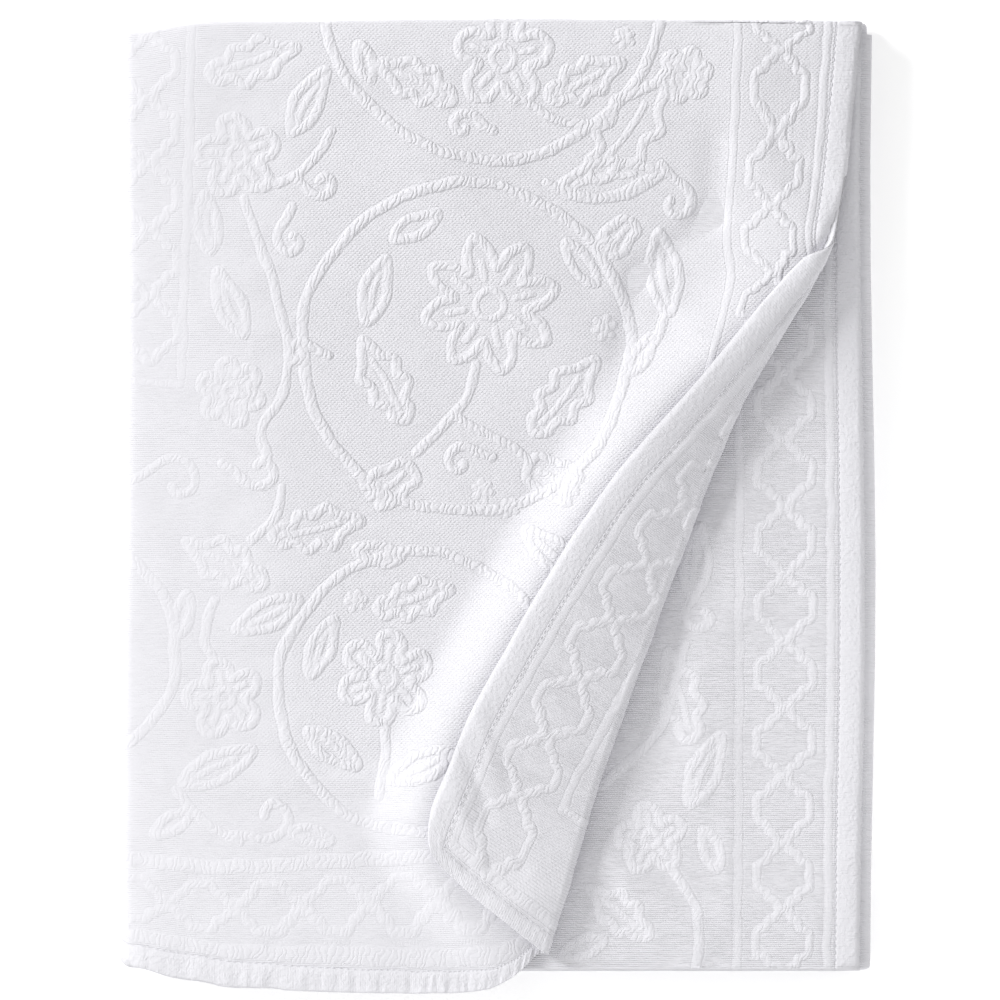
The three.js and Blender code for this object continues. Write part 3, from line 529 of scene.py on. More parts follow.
def curl_shape():
    """A tail that runs into a spiral."""
    points = [(1.7, -0.95), (1.28, -0.4)]
    for index in range(22):
        share = index / 21
        points.append(polar(1 - 0.76 * share, 0.3 + 4.9 * share))
    return [(points, False, "figure")]


def star_shape():
    angles = [math.pi * index / 3 for index in range(3)]
    return [([polar(-1, angle), polar(1, angle)], False, "fine") for angle in angles]


def ring_shape():
    """A large ring, a little uneven."""
    points = []
    for index in range(48):
        angle = 2 * math.pi * index / 48
        points.append(polar(1 + 0.008 * math.sin(5 * angle) + 0.006 * math.sin(9 * angle + 1), angle))
    return [(points, True, "ring")]


SHAPES = {
    "ring": ring_shape(),
    "daisy": petal_shape(6, 0.5, 1.0),
    "rose": petal_shape(5, 0.56, 1.02),
    "aster": petal_shape(8, 0.6, 1.08),
    "bud": bud_shape(),
    "leaf": leaf_shape(),
    "lobed": lobed_leaf_shape(),
    "small": small_leaf_shape(),
    "curl": curl_shape(),
    "star": star_shape(),
}

# Figures on the top layer, in packet coordinates: shape, x, y, size, turn in degrees. A size below zero is a
# mirrored figure.
FRONT_FIGURES = (
    ("ring", -18.6, 92, 97.5, 0),
    ("ring", -2, 305, 101, 40),
    ("ring", -47, -112, 83, 80),
    ("ring", -258, -88, 68, 20),
    # Largest ring: an open flower over a spray.
    ("aster", -4, 118, 37, 12),
    ("lobed", -66, 72, 26, 118),
    ("lobed", 40, 62, 27, 48),
    ("leaf", -72, 126, 19, 72),
    ("bud", 30, 16, 18, -28),
    ("bud", -60, 14, 17, 214),
    ("small", -48, 164, 15, 28),
    ("small", 50, 142, 15, 130),
    ("curl", -22, 24, 10, 40),
    ("star", 64, 104, 5.5, 15),
    ("star", -8, 8, 5.5, 40),
    ("star", 8, -2, 4.5, 10),
    # Upper ring.
    ("rose", 4, 264, 28, 86),
    ("lobed", -46, 250, 23, 152),
    ("lobed", 52, 250, 23, 24),
    ("curl", -20, 224, 9, 20),
    ("small", -78, 262, 11, 110),
    ("star", 76, 276, 5, 20),
    # Lower ring.
    ("daisy", -66, -104, 27, 20),
    ("leaf", -104, -86, 17, 66),
    ("lobed", -50, -58, 22, 14),
    ("leaf", -98, -146, 18, -36),
    ("leaf", -44, -156, 19, 204),
    ("star", -84, -58, 5, 10),
    # Down the left side.
    ("rose", -154, 206, 24, 24),
    ("lobed", -146, 262, 26, 16),
    ("leaf", -112, 238, 20, 62),
    ("curl", -104, 190, 9, 200),
    ("leaf", -172, 166, 17, 96),
    ("curl", -122, 156, 10, 120),
    ("leaf", -158, 118, 20, 112),
    ("daisy", -158, 66, 19, 40),
    ("curl", -118, 88, 9, 30),
    ("curl", -140, 20, 12, 200),
    ("curl", -190, 12, -16, 150),
    ("lobed", -108, -16, 26, 10),
    ("small", -70, -30, 14, 168),
    ("lobed", -160, -36, 25, 152),
    ("leaf", -136, -66, 20, 206),
    ("rose", -162, -116, 22, 30),
    ("small", -186, -66, 12, 80),
    ("leaf", -166, -158, 22, 26),
    ("curl", -134, -186, 14, 235),
    ("small", -110, -198, 12, 170),
    ("small", -192, -190, 12, 30),
    # Between the rings and the border on the right.
    ("lobed", 78, 220, 35, 52),
    ("leaf", 66, 192, 27, 8),
    ("curl", 106, 178, -12, 80),
    ("leaf", 100, 136, 24, 96),
    ("bud", 74, 160, 13, 230),
    ("daisy", 112, 254, 15, 10),
    ("small", 86, 88, 12, 60),
    ("curl", 62, -12, 11, 300),
    ("leaf", 34, -30, 20, 140),
)
FRONT_STEMS = (
    ((-12, 82), (-18, 62), (-34, 44), (-48, 30)),
    ((-26, 52), (-8, 42), (8, 34), (18, 26)),
    ((-130, 190), (-118, 196), (-106, 208), (-98, 222)),
    ((-150, 180), (-142, 156), (-134, 134), (-128, 112), (-124, 88), (-128, 62), (-140, 44), (-136, 28)),
    ((-128, 8), (-132, -8), (-146, -22)),
    ((-168, -92), (-174, -80), (-168, -58)),
    ((-190, -172), (-172, -190), (-152, -202)),
    ((30, 190), (52, 180), (80, 184), (100, 196)),
    ((100, 110), (94, 96), (86, 84)),
    ((-66, -132), (-66, -152), (-70, -174)),
    ((20, 236), (40, 226), (66, 226)),
)
SECOND_FIGURES = (
    ("leaf", 118, -36, 20, 82),
    ("curl", 122, -68, 11, 120),
    ("lobed", 110, -116, 26, 104),
    ("leaf", 124, -160, 21, 66),
    ("rose", 92, -200, 20, 25),
    ("lobed", 74, -244, 22, 140),
    ("small", 52, -264, 13, 20),
    ("small", 128, -206, 12, 110),
)
SECOND_STEMS = (
    ((62, -168), (80, -152), (98, -134), (106, -108), (112, -84)),
    ((106, -220), (118, -240), (121, -262), (118, -282)),
)
FLAP_FIGURES = (
    ("leaf", 98, 110, 17, 80),
    ("curl", 98, 172, 12, 100),
    ("leaf", 95, 232, 17, 95),
)
LEFT_PANEL_LINES = (
    ((-181, 292), (-183, 220), (-186, 140), (-188, 76)),
    ((-232, 74), (-210, 72), (-189, 70)),
)


def figure_lines(figures):
    """The lines of figures at their places. A figure of a size below zero is mirrored."""
    lines = []
    for shape, x, y, size, turn in figures:
        c, s = polar(1, math.radians(turn))
        reach = abs(size)
        flip = math.copysign(1, size)
        for points, closed, kind in SHAPES[shape]:
            placed = [(x + reach * (a * c - flip * b * s), y + reach * (a * s + flip * b * c))
                      for a, b in points]
            lines.append((placed, closed, kind))
    return lines


def open_lines(kind, rows):
    return [(list(row), False, kind) for row in rows]


def chain_lines(start, end, middle, upright, shift=0.0, breadth=1.0):
    """Two stepped lines that cross again and again and leave a row of lozenges between them. upright: they
    run up the pattern. shift: where the first crossing lies after the start. breadth: share of full width."""
    quarter = [(a, c * breadth) for a, c in CHAIN_STEPS]
    half = quarter + [(CHAIN_PITCH - a, c) for a, c in quarter[-2::-1]]
    lines = []
    for sign in (1, -1):
        points = []
        place = start + shift
        flip = sign
        while place < end:
            points += [(place + a, middle + flip * c) for a, c in half[:-1]]
            place += CHAIN_PITCH
            flip = -flip
        points = [(a, c) for a, c in points if start <= a <= end]
        lines.append(([(c, a) if upright else (a, c) for a, c in points], False, "chain"))
    return lines


BORDER_MIDDLE = (OUTER_CORD + INNER_CORD) / 2


def front_pattern():
    """The pattern of the top layer's face, in packet coordinates."""
    lines = figure_lines(FRONT_FIGURES) + open_lines("figure", FRONT_STEMS)
    chain = chain_lines(start=78, end=292, middle=-207, upright=True, shift=6)
    return lines + open_lines("edge", LEFT_PANEL_LINES) + chain


def second_pattern():
    """The pattern of the second ply where it shows, in packet coordinates."""
    outer = SIDE_HEM_X - OUTER_CORD
    inner = SIDE_HEM_X - INNER_CORD
    borders = [((outer, 286), (outer, -278)), ((inner, 160), (inner, -278))]
    lines = figure_lines(SECOND_FIGURES) + open_lines("figure", SECOND_STEMS) + open_lines("edge", borders)
    return lines + chain_lines(start=-290, end=180, middle=SIDE_HEM_X - BORDER_MIDDLE, upright=True, shift=8)


def flap_pattern():
    """The pattern of the turned-back corner, from the side hem and from the bottom hem."""
    end = TOP_PLY_LENGTH
    borders = [((OUTER_CORD, end), (OUTER_CORD, OUTER_CORD)), ((INNER_CORD, end), (INNER_CORD, BAND_INNER)),
               ((OUTER_CORD, BAND_OUTER), (180, BAND_OUTER)), ((INNER_CORD, BAND_INNER), (180, BAND_INNER))]
    chain = chain_lines(start=19, end=end, middle=BORDER_MIDDLE, upright=True)
    return figure_lines(FLAP_FIGURES) + open_lines("edge", borders) + chain


def bottom_border_pattern():
    """The bottom border of the top layer: x along it, distance from the bottom hem across it."""
    bands = [((-236, BAND_OUTER), (200, BAND_OUTER)), ((-236, BAND_INNER), (200, BAND_INNER))]
    middle = (BAND_OUTER + BAND_INNER) / 2
    breadth = BAND_CHAIN_BREADTH
    chain = chain_lines(start=-240, end=150, middle=middle, upright=False, shift=5, breadth=breadth)
    return open_lines("band", bands) + chain


def side_border_pattern():
    """The side border of the top layer: distance from the side hem across it, from the top fold along it."""
    borders = [((OUTER_CORD, -6), (OUTER_CORD, 330)), ((INNER_CORD, -6), (INNER_CORD, 330))]
    chain = chain_lines(start=-20, end=330, middle=BORDER_MIDDLE, upright=True, shift=8)
    return open_lines("edge", borders) + chain


class CordField:
    """Nearest raised cord of a pattern, from even samples along its lines."""

    def __init__(self, lines):
        places, tangents, strengths, widths = [], [], [], []
        for points, closed, kind in lines:
            strength, half_width = CORDS[kind]
            curve = self.smooth(np.array(points, float), closed)
            steps = np.linalg.norm(np.diff(curve, axis=0), axis=1)
            run = np.concatenate([[0], np.cumsum(steps)])
            at = np.arange(0, run[-1], SAMPLE_STEP)
            x = np.interp(at, run, curve[:, 0])
            y = np.interp(at, run, curve[:, 1])
            tangent = np.stack([np.gradient(x), np.gradient(y)], -1)
            tangent /= np.maximum(np.linalg.norm(tangent, axis=1, keepdims=True), 1e-9)
            places.append(np.stack([x, y], -1))
            tangents.append(tangent)
            strengths.append(np.full(len(at), strength))
            widths.append(np.full(len(at), half_width))
        self.places = np.concatenate(places)
        self.tangents = np.concatenate(tangents)
        self.strengths = np.concatenate(strengths)
        self.widths = np.concatenate(widths)
        self.tree = kdtree.KDTree(len(self.places))
        for index, (x, y) in enumerate(self.places):
            self.tree.insert((x, y, 0.0), index)
        self.tree.balance()

    @staticmethod
    def smooth(points, closed):
        """Rounds a line through its points."""
        if len(points) == 2:
            return points
        if closed:
            padded = np.concatenate([points[-1:], points, points[:2]])
        else:
            padded = np.concatenate([2 * points[:1] - points[1:2], points, 2 * points[-1:] - points[-2:-1]])
        u = np.linspace(0, 1, 9)[:-1, None]
        pieces = []
        for index in range(1, len(padded) - 2):
            a, b, c, d = padded[index - 1:index + 3]
            pieces.append(0.5 * (2 * b + (c - a) * u + (2 * a - 5 * b + 4 * c - d) * u ** 2
                                 + (3 * b - 3 * c + d - a) * u ** 3))
        pieces.append(padded[-2][None, :])
        return np.concatenate(pieces)

    def nearest(self, u, v):
        """For each place: way to the cord's edge, how far the cord lies across the packet, and strength."""
        found = np.array([self.tree.find((a, b, 0.0))[1] for a, b in zip(u, v)], int)
        dx = u - self.places[found, 0]
        dy = v - self.places[found, 1]
        tx, ty = self.tangents[found, 0], self.tangents[found, 1]
        forward = dx * tx + dy * ty
        aside = dx * ty - dy * tx
        past_end = np.maximum(np.abs(forward) - SAMPLE_STEP / 2, 0)
        return np.hypot(aside, past_end) - self.widths[found], np.abs(tx), self.strengths[found]


FIELDS = {}


def build_fields():
    """Makes the cords' fields once. Both pieces of the cloth read them."""
    if FIELDS:
        return
    patterns = {"front": front_pattern, "second": second_pattern, "flap": flap_pattern,
                "bottom": bottom_border_pattern, "side": side_border_pattern}
    for name, pattern in patterns.items():
        FIELDS[name] = CordField(pattern())


def stray(u, v, way):
    """How far a cord strays from its line at a place, in one of its two ways."""
    total = 0
    for size, cell, seeds in (CORD_WANDER, CORD_WOBBLE):
        total = total + size * soft_noise(u, v, cell, seeds[way])
    return total


def nearest_cord(side, s, t):
    """Nearest cord at points of one side of the cloth, with the columns of CordField.nearest, and whether the
    place shows."""
    kind, u, v, shows = place_in_pattern(side, s, t)
    along = np.clip(TOP_PLY_LENGTH - t, 0, TOP_PLY_LENGTH)
    columns = np.zeros((3, len(s)))
    columns[0] = FAR_FROM_CORD
    is_front = kind == FRONT
    in_bottom = is_front & (t < BOTTOM_BORDER)
    in_side = is_front & ~in_bottom & (s < SIDE_BORDER)
    groups = (
        ("bottom", in_bottom, u, t),
        ("side", in_side, s, along),
        ("front", is_front & ~in_bottom & ~in_side, u, v),
        ("second", kind == SECOND, u, v),
        ("flap", kind == FLAP, s, t),
    )
    for name, mask, a, b in groups:
        mask = mask & shows
        if mask.any():
            at, beside = a[mask], b[mask]
            found = FIELDS[name].nearest(at + stray(at, beside, 0), beside + stray(at, beside, 1))
            columns[:, mask] = found
    return (*columns, shows)


# The division of the sheet.

COLUMN_ENDS = np.cumsum([1, FLAP_COLUMNS, ROLL_COLUMNS, FRONT_COLUMNS, BEND_COLUMNS, MIDDLE_COLUMNS,
                         BEND_COLUMNS, LAST_COLUMNS, 1])
COLUMNS = int(COLUMN_ENDS[-1])
ROW_PLACES = np.concatenate([
    [0],
    np.linspace(HEM_WIDTH, TOP_PLY_LENGTH, TOP_ROWS + 1)[:-1],
    np.linspace(TOP_PLY_LENGTH, SECOND_PLY_START, BEND_ROWS + 1)[:-1],
    np.linspace(SECOND_PLY_START, SECOND_PLY_END, SECOND_ROWS + 1)[:-1],
    np.linspace(SECOND_PLY_END, THIRD_PLY_START, BEND_ROWS + 1)[:-1],
    np.linspace(THIRD_PLY_START, COVERLET_LENGTH - HEM_WIDTH, THIRD_ROWS + 1),
    [COVERLET_LENGTH],
])
ROWS = len(ROW_PLACES) - 1
FLAP_LEAST = 26.0
ROLL_LEAST = 18.0
# How near to a cord's edge and to a hem's edge a cell is cut again, for each of the three cuts. The last cut
# is for the cords and the bottom hem alone.
SPLIT_REACH = ((99.0, 99.0), (2.8, 18.0), (0.0, 16.0))
HEM_MARGIN = 4.0
# Round the apex of the turned-back corner all cells are fine.
APEX_FROM = 76.0
APEX_TO = 190.0
APEX_MARGIN = 8.0


def spread_point(i, j):
    """Point of the spread cloth at a place of the lattice."""
    t = np.interp(j / FINE, np.arange(ROWS + 1), ROW_PLACES)
    along = np.clip(TOP_PLY_LENGTH - t, 0, TOP_PLY_LENGTH)
    flap_end = np.maximum(roll_start(along) - math.pi * lapel("roll", along), FLAP_LEAST)
    roll_end = np.maximum(roll_start(along), flap_end + ROLL_LEAST)
    stops = [0 * t, HEM_WIDTH + 0 * t, flap_end, roll_end, FRONT_WIDTH + 0 * t, LEFT_BEND_END + 0 * t,
             RIGHT_BEND_START + 0 * t, RIGHT_BEND_END + 0 * t, COVERLET_WIDTH - HEM_WIDTH + 0 * t,
             COVERLET_WIDTH + 0 * t]
    column = i / FINE
    s = 0 * t
    first = 0
    for part, last in enumerate(COLUMN_ENDS):
        share = (column - first) / (last - first)
        inside = (column >= first) & (column <= last)
        s = np.where(inside, stops[part] + (stops[part + 1] - stops[part]) * share, s)
        first = last
    return s, t


def divide_side(side):
    """Leaves of the lattice for one side: fine at cords and hems that show, coarse where hidden."""
    i, j = np.meshgrid(np.arange(COLUMNS) * FINE, np.arange(ROWS) * FINE, indexing="ij")
    cells = np.stack([i.ravel(), j.ravel()], -1)
    size = FINE
    leaves = []
    in_bend_after = COLUMN_ENDS[3] * FINE
    for reach, reach_hem in SPLIT_REACH:
        s, t = spread_point(cells[:, 0] + size / 2, cells[:, 1] + size / 2)
        edge, *_, shows = nearest_cord(side, s, t)
        along = np.clip(TOP_PLY_LENGTH - t, 0, TOP_PLY_LENGTH)
        inside = np.minimum(s, t)
        near_hem = shows & (inside < reach_hem) & ((t < HEM_WIDTH + HEM_MARGIN) | (reach > 0))
        near_apex = (t < TOP_PLY_LENGTH) & (along > APEX_FROM) & (along < APEX_TO)
        near_apex = near_apex & (s < roll_start(along) + APEX_MARGIN)
        bend = (cells[:, 0] >= in_bend_after) | ((t > TOP_PLY_LENGTH) & (t < SECOND_PLY_START))
        bend = bend | ((t > SECOND_PLY_END) & (t < THIRD_PLY_START))
        split = (shows & ((edge < reach) | near_hem)) | near_apex
        if reach < FAR_FROM_CORD:
            split = split & ~bend
        leaves.append((cells[~split], size))
        half = size // 2
        chosen = cells[split]
        cells = np.concatenate([chosen + (dx, dy) for dx in (0, half) for dy in (0, half)])
        size = half
    leaves.append((cells, size))
    return leaves


def lattice_use(leaves):
    """Places of the lattice that are a corner of a leaf."""
    used = np.zeros((COLUMNS * FINE + 1, ROWS * FINE + 1), bool)
    for cells, size in leaves:
        for dx in (0, size):
            for dy in (0, size):
                used[cells[:, 0] + dx, cells[:, 1] + dy] = True
    return used


def lattice_faces(leaves, used):
    """Faces over the leaves. A leaf with finer neighbours is a fan round its middle."""
    extra = used.copy()
    faces = []
    for cells, size in leaves:
        if size == 1:
            faces += [((a, b), (a + 1, b), (a + 1, b + 1), (a, b + 1)) for a, b in cells.tolist()]
            continue
        crowded = np.zeros(len(cells), bool)
        for step in range(1, size):
            for dx, dy in ((step, 0), (step, size), (0, step), (size, step)):
                crowded |= used[cells[:, 0] + dx, cells[:, 1] + dy]
        faces += [((a, b), (a + size, b), (a + size, b + size), (a, b + size))
                  for a, b in cells[~crowded].tolist()]
        for a, b in cells[crowded].tolist():
            rim = [(a + step, b) for step in range(size)] + [(a + size, b + step) for step in range(size)]
            rim += [(a + size - step, b + size) for step in range(size)]
            rim += [(a, b + size - step) for step in range(size)]
            rim = [place for place in rim if used[place]]
            middle = (a + size // 2, b + size // 2)
            extra[middle] = True
            faces += [(middle, rim[index], rim[(index + 1) % len(rim)]) for index in range(len(rim))]
    return faces, extra


NOISE_CELLS = 64


def soft_noise(x, y, cell, seed):
    """Even random swells between -1 and 1 with a cell size in millimetres."""
    table = np.random.default_rng(seed).uniform(-1, 1, (NOISE_CELLS, NOISE_CELLS))
    gx, gy = x / cell, y / cell
    ix, iy = np.floor(gx).astype(int), np.floor(gy).astype(int)
    fx, fy = ease(gx - ix), ease(gy - iy)

    def at(dx, dy):
        return table[(ix + dx) % NOISE_CELLS, (iy + dy) % NOISE_CELLS]

    low = at(0, 0) * (1 - fx) + at(1, 0) * fx
    high = at(0, 1) * (1 - fx) + at(1, 1) * fx
    return low * (1 - fy) + high * fy


def hem_depth(s, t):
    """How far a place of the spread cloth lies from its nearest edge."""
    return np.minimum(np.minimum(s, t), np.minimum(COVERLET_WIDTH - s, COVERLET_LENGTH - t))


# Waves of a hem's edge: size, cell along it, how far in they fade, seed.
SIDE_WAVES = (0.35, 16, 22, 3)
BOTTOM_WAVES = (1.1, 13, 24, 5)
AT_EDGE = 0.1


def wave_in(inside, along, waves):
    """A hem's edge wanders in and out a little, as gathered cloth does, and its rim never goes outwards."""
    size, cell, fade, seed = waves
    wave = size * soft_noise(along, 0 * along, cell, seed) * np.clip(1 - inside / fade, 0, 1)
    return inside + np.where(inside > AT_EDGE, wave, np.maximum(wave, 0))


# How the look changes over the cloth. Fine lines take the place of pebbles down the left side, at the bottom
# and on the layers that show their reverse, and the pattern stands up less there. Each pair is a place and
# the run from there.
LEFT_LINES = (-105.0, 80.0)
BOTTOM_LINES = (BOTTOM_BORDER + 70.0, 70.0)
FRONT_LINES = 0.75
LEFT_FADE = (-190.0, 110.0)
BOTTOM_FADE = (BOTTOM_BORDER + 2.0, 60.0)
LEFT_BOLD = 0.36
BOTTOM_BOLD = 0.4
# Share of lines and boldness: second ply, turned-back corner, all that is plain.
LINES = (1.0, 0.55, 0.8)
BOLD = (0.6, 0.8, 0.6)


def by_kind(kind, front, others):
    """A value for each place: the front's own, or that of its kind of pattern."""
    second, flap, plain = others
    value = np.where(kind == FRONT, front, plain)
    value = np.where(kind == SECOND, second, value)
    return np.where(kind == FLAP, flap, value)


def lines_share(kind, u, t):
    """How far the ground shows fine lines across it in place of pebbles."""
    left = ease((LEFT_LINES[0] - u) / LEFT_LINES[1])
    bottom = ease((BOTTOM_LINES[0] - t) / BOTTOM_LINES[1])
    return by_kind(kind, FRONT_LINES * np.maximum(left, bottom), LINES)


def boldness(kind, u, t):
    """How boldly the pattern stands up."""
    left = LEFT_BOLD + (1 - LEFT_BOLD) * ease((u - LEFT_FADE[0]) / LEFT_FADE[1])
    bottom = BOTTOM_BOLD + (1 - BOTTOM_BOLD) * ease((t - BOTTOM_FADE[0]) / BOTTOM_FADE[1])
    return by_kind(kind, np.minimum(left, bottom), BOLD)


# A cord's relief: where its flank starts outside its edge, the flank's run, its lumps, the groove beside it
# and the height of an upright cord against a level one.
FLANK_START = 0.3
CORD_FLANK = 1.8
LUMPS = (0.3, 3.6, 31)
GROOVE = (1.3, 1.5, 0.2)
UPRIGHT_SHARE = 0.75
# How far the puckers of a cord lean, on the face and on the turned-back reverse, and how weak they are on an
# upright cord.
RIB_LEAN = 0.22
BACK_LEAN = 0.34
UPRIGHT_RIB = 0.4
# The hem: how its rim rounds off and to what share of the thickness, where it starts and ends, its rise, and
# how far past it the bottom hem's own values reach.
HEM_ROUNDING = 1.6
RIM_SHARE = 0.45
HEM_BLEND = (0.8, 1.6)
HEM_END = HEM_WIDTH + 2.0
HEM_RISE = 0.4
HEM_REACH = 8.0
# Its gathers: how much they puff it up at the bottom and at the side, their cells and seed, where they fade
# on the left fold, their pitch in the bump, and the depth and spread of the line that the stitches draw in.
BOTTOM_PUFF = 0.55
SIDE_PUFF = 0.25
SIDE_PUFF_STRETCH = 1.8
PUFF_CELL = 3.4
PUFF_ACROSS = 0.12
PUFF_SEED = 11
BEND_FADE = (4.0, 8.0)
BOTTOM_GATHERS = 6.3
SIDE_GATHERS = 11.0
STITCH_LINE = (0.3, 1.1)
# Swelling of the cloth between the cords: size, cell, seed.
SWELLS = ((0.26, 26, 21), (0.16, 11, 22))
# Where the values for the material stop rising.
FARTHEST_EDGE = 9.0
FARTHEST_INSET = 40.0


def cord_relief(u, v, edge, level, strength, height_scale):
    """Height of the raised cords and of the grooves beside them."""
    lump_size, lump_cell, lump_seed = LUMPS
    groove_place, groove_spread, groove_depth = GROOVE
    flank = ease((FLANK_START - edge) / CORD_FLANK)
    lumps = 1 + lump_size * soft_noise(u, v, lump_cell, lump_seed)
    turned = UPRIGHT_SHARE + (1 - UPRIGHT_SHARE) * level
    groove = np.exp(-(((edge - groove_place) / groove_spread) ** 2)) * strength
    return height_scale * flank * lumps * strength * turned - groove_depth * groove


def hem_relief(s, inside, in_hem, hem_run, is_bottom_hem):
    """Height of the double-turned hem, gathered by its stitches. It lies flat on the left fold."""
    puff = np.sqrt(np.sin(math.pi * np.clip(inside / HEM_WIDTH, 0.001, 0.999)))
    stretch = np.where(is_bottom_hem, 1.0, SIDE_PUFF_STRETCH)
    gathers = soft_noise(hem_run / stretch, inside * PUFF_ACROSS, PUFF_CELL, PUFF_SEED)
    on_bend = ease((s - FRONT_WIDTH + BEND_FADE[0]) / BEND_FADE[1])
    puff = puff * np.where(is_bottom_hem, BOTTOM_PUFF, SIDE_PUFF)
    return in_hem * (HEM_RISE + puff * gathers) * (1 - on_bend)


def soft_relief(kind, u, v):
    """Height of the small creases and of the swelling between the cords."""
    height = np.zeros(u.shape)
    for own, rows in ((FRONT, TOP_CREASES), (SECOND, SECOND_CREASES), (FLAP, FLAP_CREASES)):
        height = np.where(kind == own, ridges(rows, u, v), height)
    return height + sum(size * soft_noise(u, v, cell, seed) for size, cell, seed in SWELLS)


def surface(side, s, t, height_scale):
    """Positions in millimetres and surface values of points on one side of the cloth."""
    kind, u, v, _ = place_in_pattern(side, s, t)
    edge, level, strength, shows = nearest_cord(side, s, t)
    inside = hem_depth(s, t)
    in_hem = ease((HEM_WIDTH + HEM_BLEND[0] - inside) / HEM_BLEND[1])
    hem_run = np.where(s < t, t, s)
    is_bottom_hem = (t < HEM_WIDTH + HEM_REACH) & (t < s) & (side == "face")
    flat_base = (side == "back") & (t > SECOND_PLY_END)

    bold = boldness(kind, u, t)
    relief = bold * cord_relief(u, v, edge, level, strength, height_scale)
    hem = hem_relief(s, inside, in_hem, hem_run, is_bottom_hem)
    relief = np.where(inside < HEM_END, np.maximum(relief, 0) * (1 - in_hem) + hem, relief)
    relief = relief - STITCH_LINE[0] * np.exp(-(((inside - HEM_WIDTH) / STITCH_LINE[1]) ** 2))
    relief = np.where(flat_base, 0, relief) + np.where(shows, soft_relief(kind, u, v), 0)

    round_s, round_t = round_corners(wave_in(s, t, SIDE_WAVES), wave_in(t, s, BOTTOM_WAVES))
    middle = np.stack(cloth_point(round_s, round_t), -1)
    normal = cloth_normal(round_s, round_t)
    sign = 1 if side == "face" else -1
    rim = np.clip(inside / HEM_ROUNDING, 0, 1)
    base = CLOTH_THICKNESS / 2 * (RIM_SHARE + (1 - RIM_SHARE) * np.sqrt(rim * (2 - rim)))
    base = np.where(flat_base, CLOTH_THICKNESS / 2, base)
    place = middle + normal * (sign * (base + relief))[:, None]

    values = {
        "edge": np.where(in_hem > 0.5, FARTHEST_EDGE, np.minimum(edge, FARTHEST_EDGE)),
        "rib": bold * strength * (UPRIGHT_RIB + (1 - UPRIGHT_RIB) * level),
        "bold": bold,
        "inset": np.minimum(inside, FARTHEST_INSET),
        "hem": in_hem,
        "hem_run": hem_run,
        "gather": hem_run / np.where(is_bottom_hem, BOTTOM_GATHERS, SIDE_GATHERS),
        "lined": lines_share(kind, u, t),
        "lean": np.where((side == "back") & (t < TOP_PLY_LENGTH), BACK_LEAN, RIB_LEAN),
    }
    return place, np.stack([u, v], -1), values


def deselect():
    for item in bpy.context.selected_objects:
        item.select_set(False)


def object_from(name, vertices, faces):
    mesh = bpy.data.meshes.new(name)
    mesh.from_pydata(vertices, [], faces)
    mesh.validate()
    piece = bpy.data.objects.new(name, mesh)
    bpy.context.scene.collection.objects.link(piece)
    return piece


def to_world(place):
    """From the folds' own millimetres to metres in the shared frame."""
    return (place - np.array([PACKET_CENTRE_X, PACKET_CENTRE_Y, 0.0])) * MM


HEM_JUMP = 40.0


def calm_jumps(mesh, corner_vertex, values):
    """Takes the hem's creases off the faces on which two hems meet, because their places along differ."""
    starts = np.zeros(len(mesh.polygons), int)
    mesh.polygons.foreach_get("loop_start", starts)
    column = values["hem_run"][corner_vertex]
    spread = np.maximum.reduceat(column, starts) - np.minimum.reduceat(column, starts)
    totals = np.zeros(len(mesh.polygons), int)
    mesh.polygons.foreach_get("loop_total", totals)
    values["hem"][corner_vertex[np.repeat(spread > HEM_JUMP, totals)]] = 0.0


def rim_loop(shared):
    """The places on the rim that both sides use, in order round the sheet."""
    last_column = COLUMNS * FINE
    last_row = ROWS * FINE
    loop = [(a, 0) for a in range(last_column)] + [(last_column, b) for b in range(last_row)]
    loop += [(a, last_row) for a in range(last_column, 0, -1)] + [(0, b) for b in range(last_row, 0, -1)]
    return [place for place in loop if shared[place]]


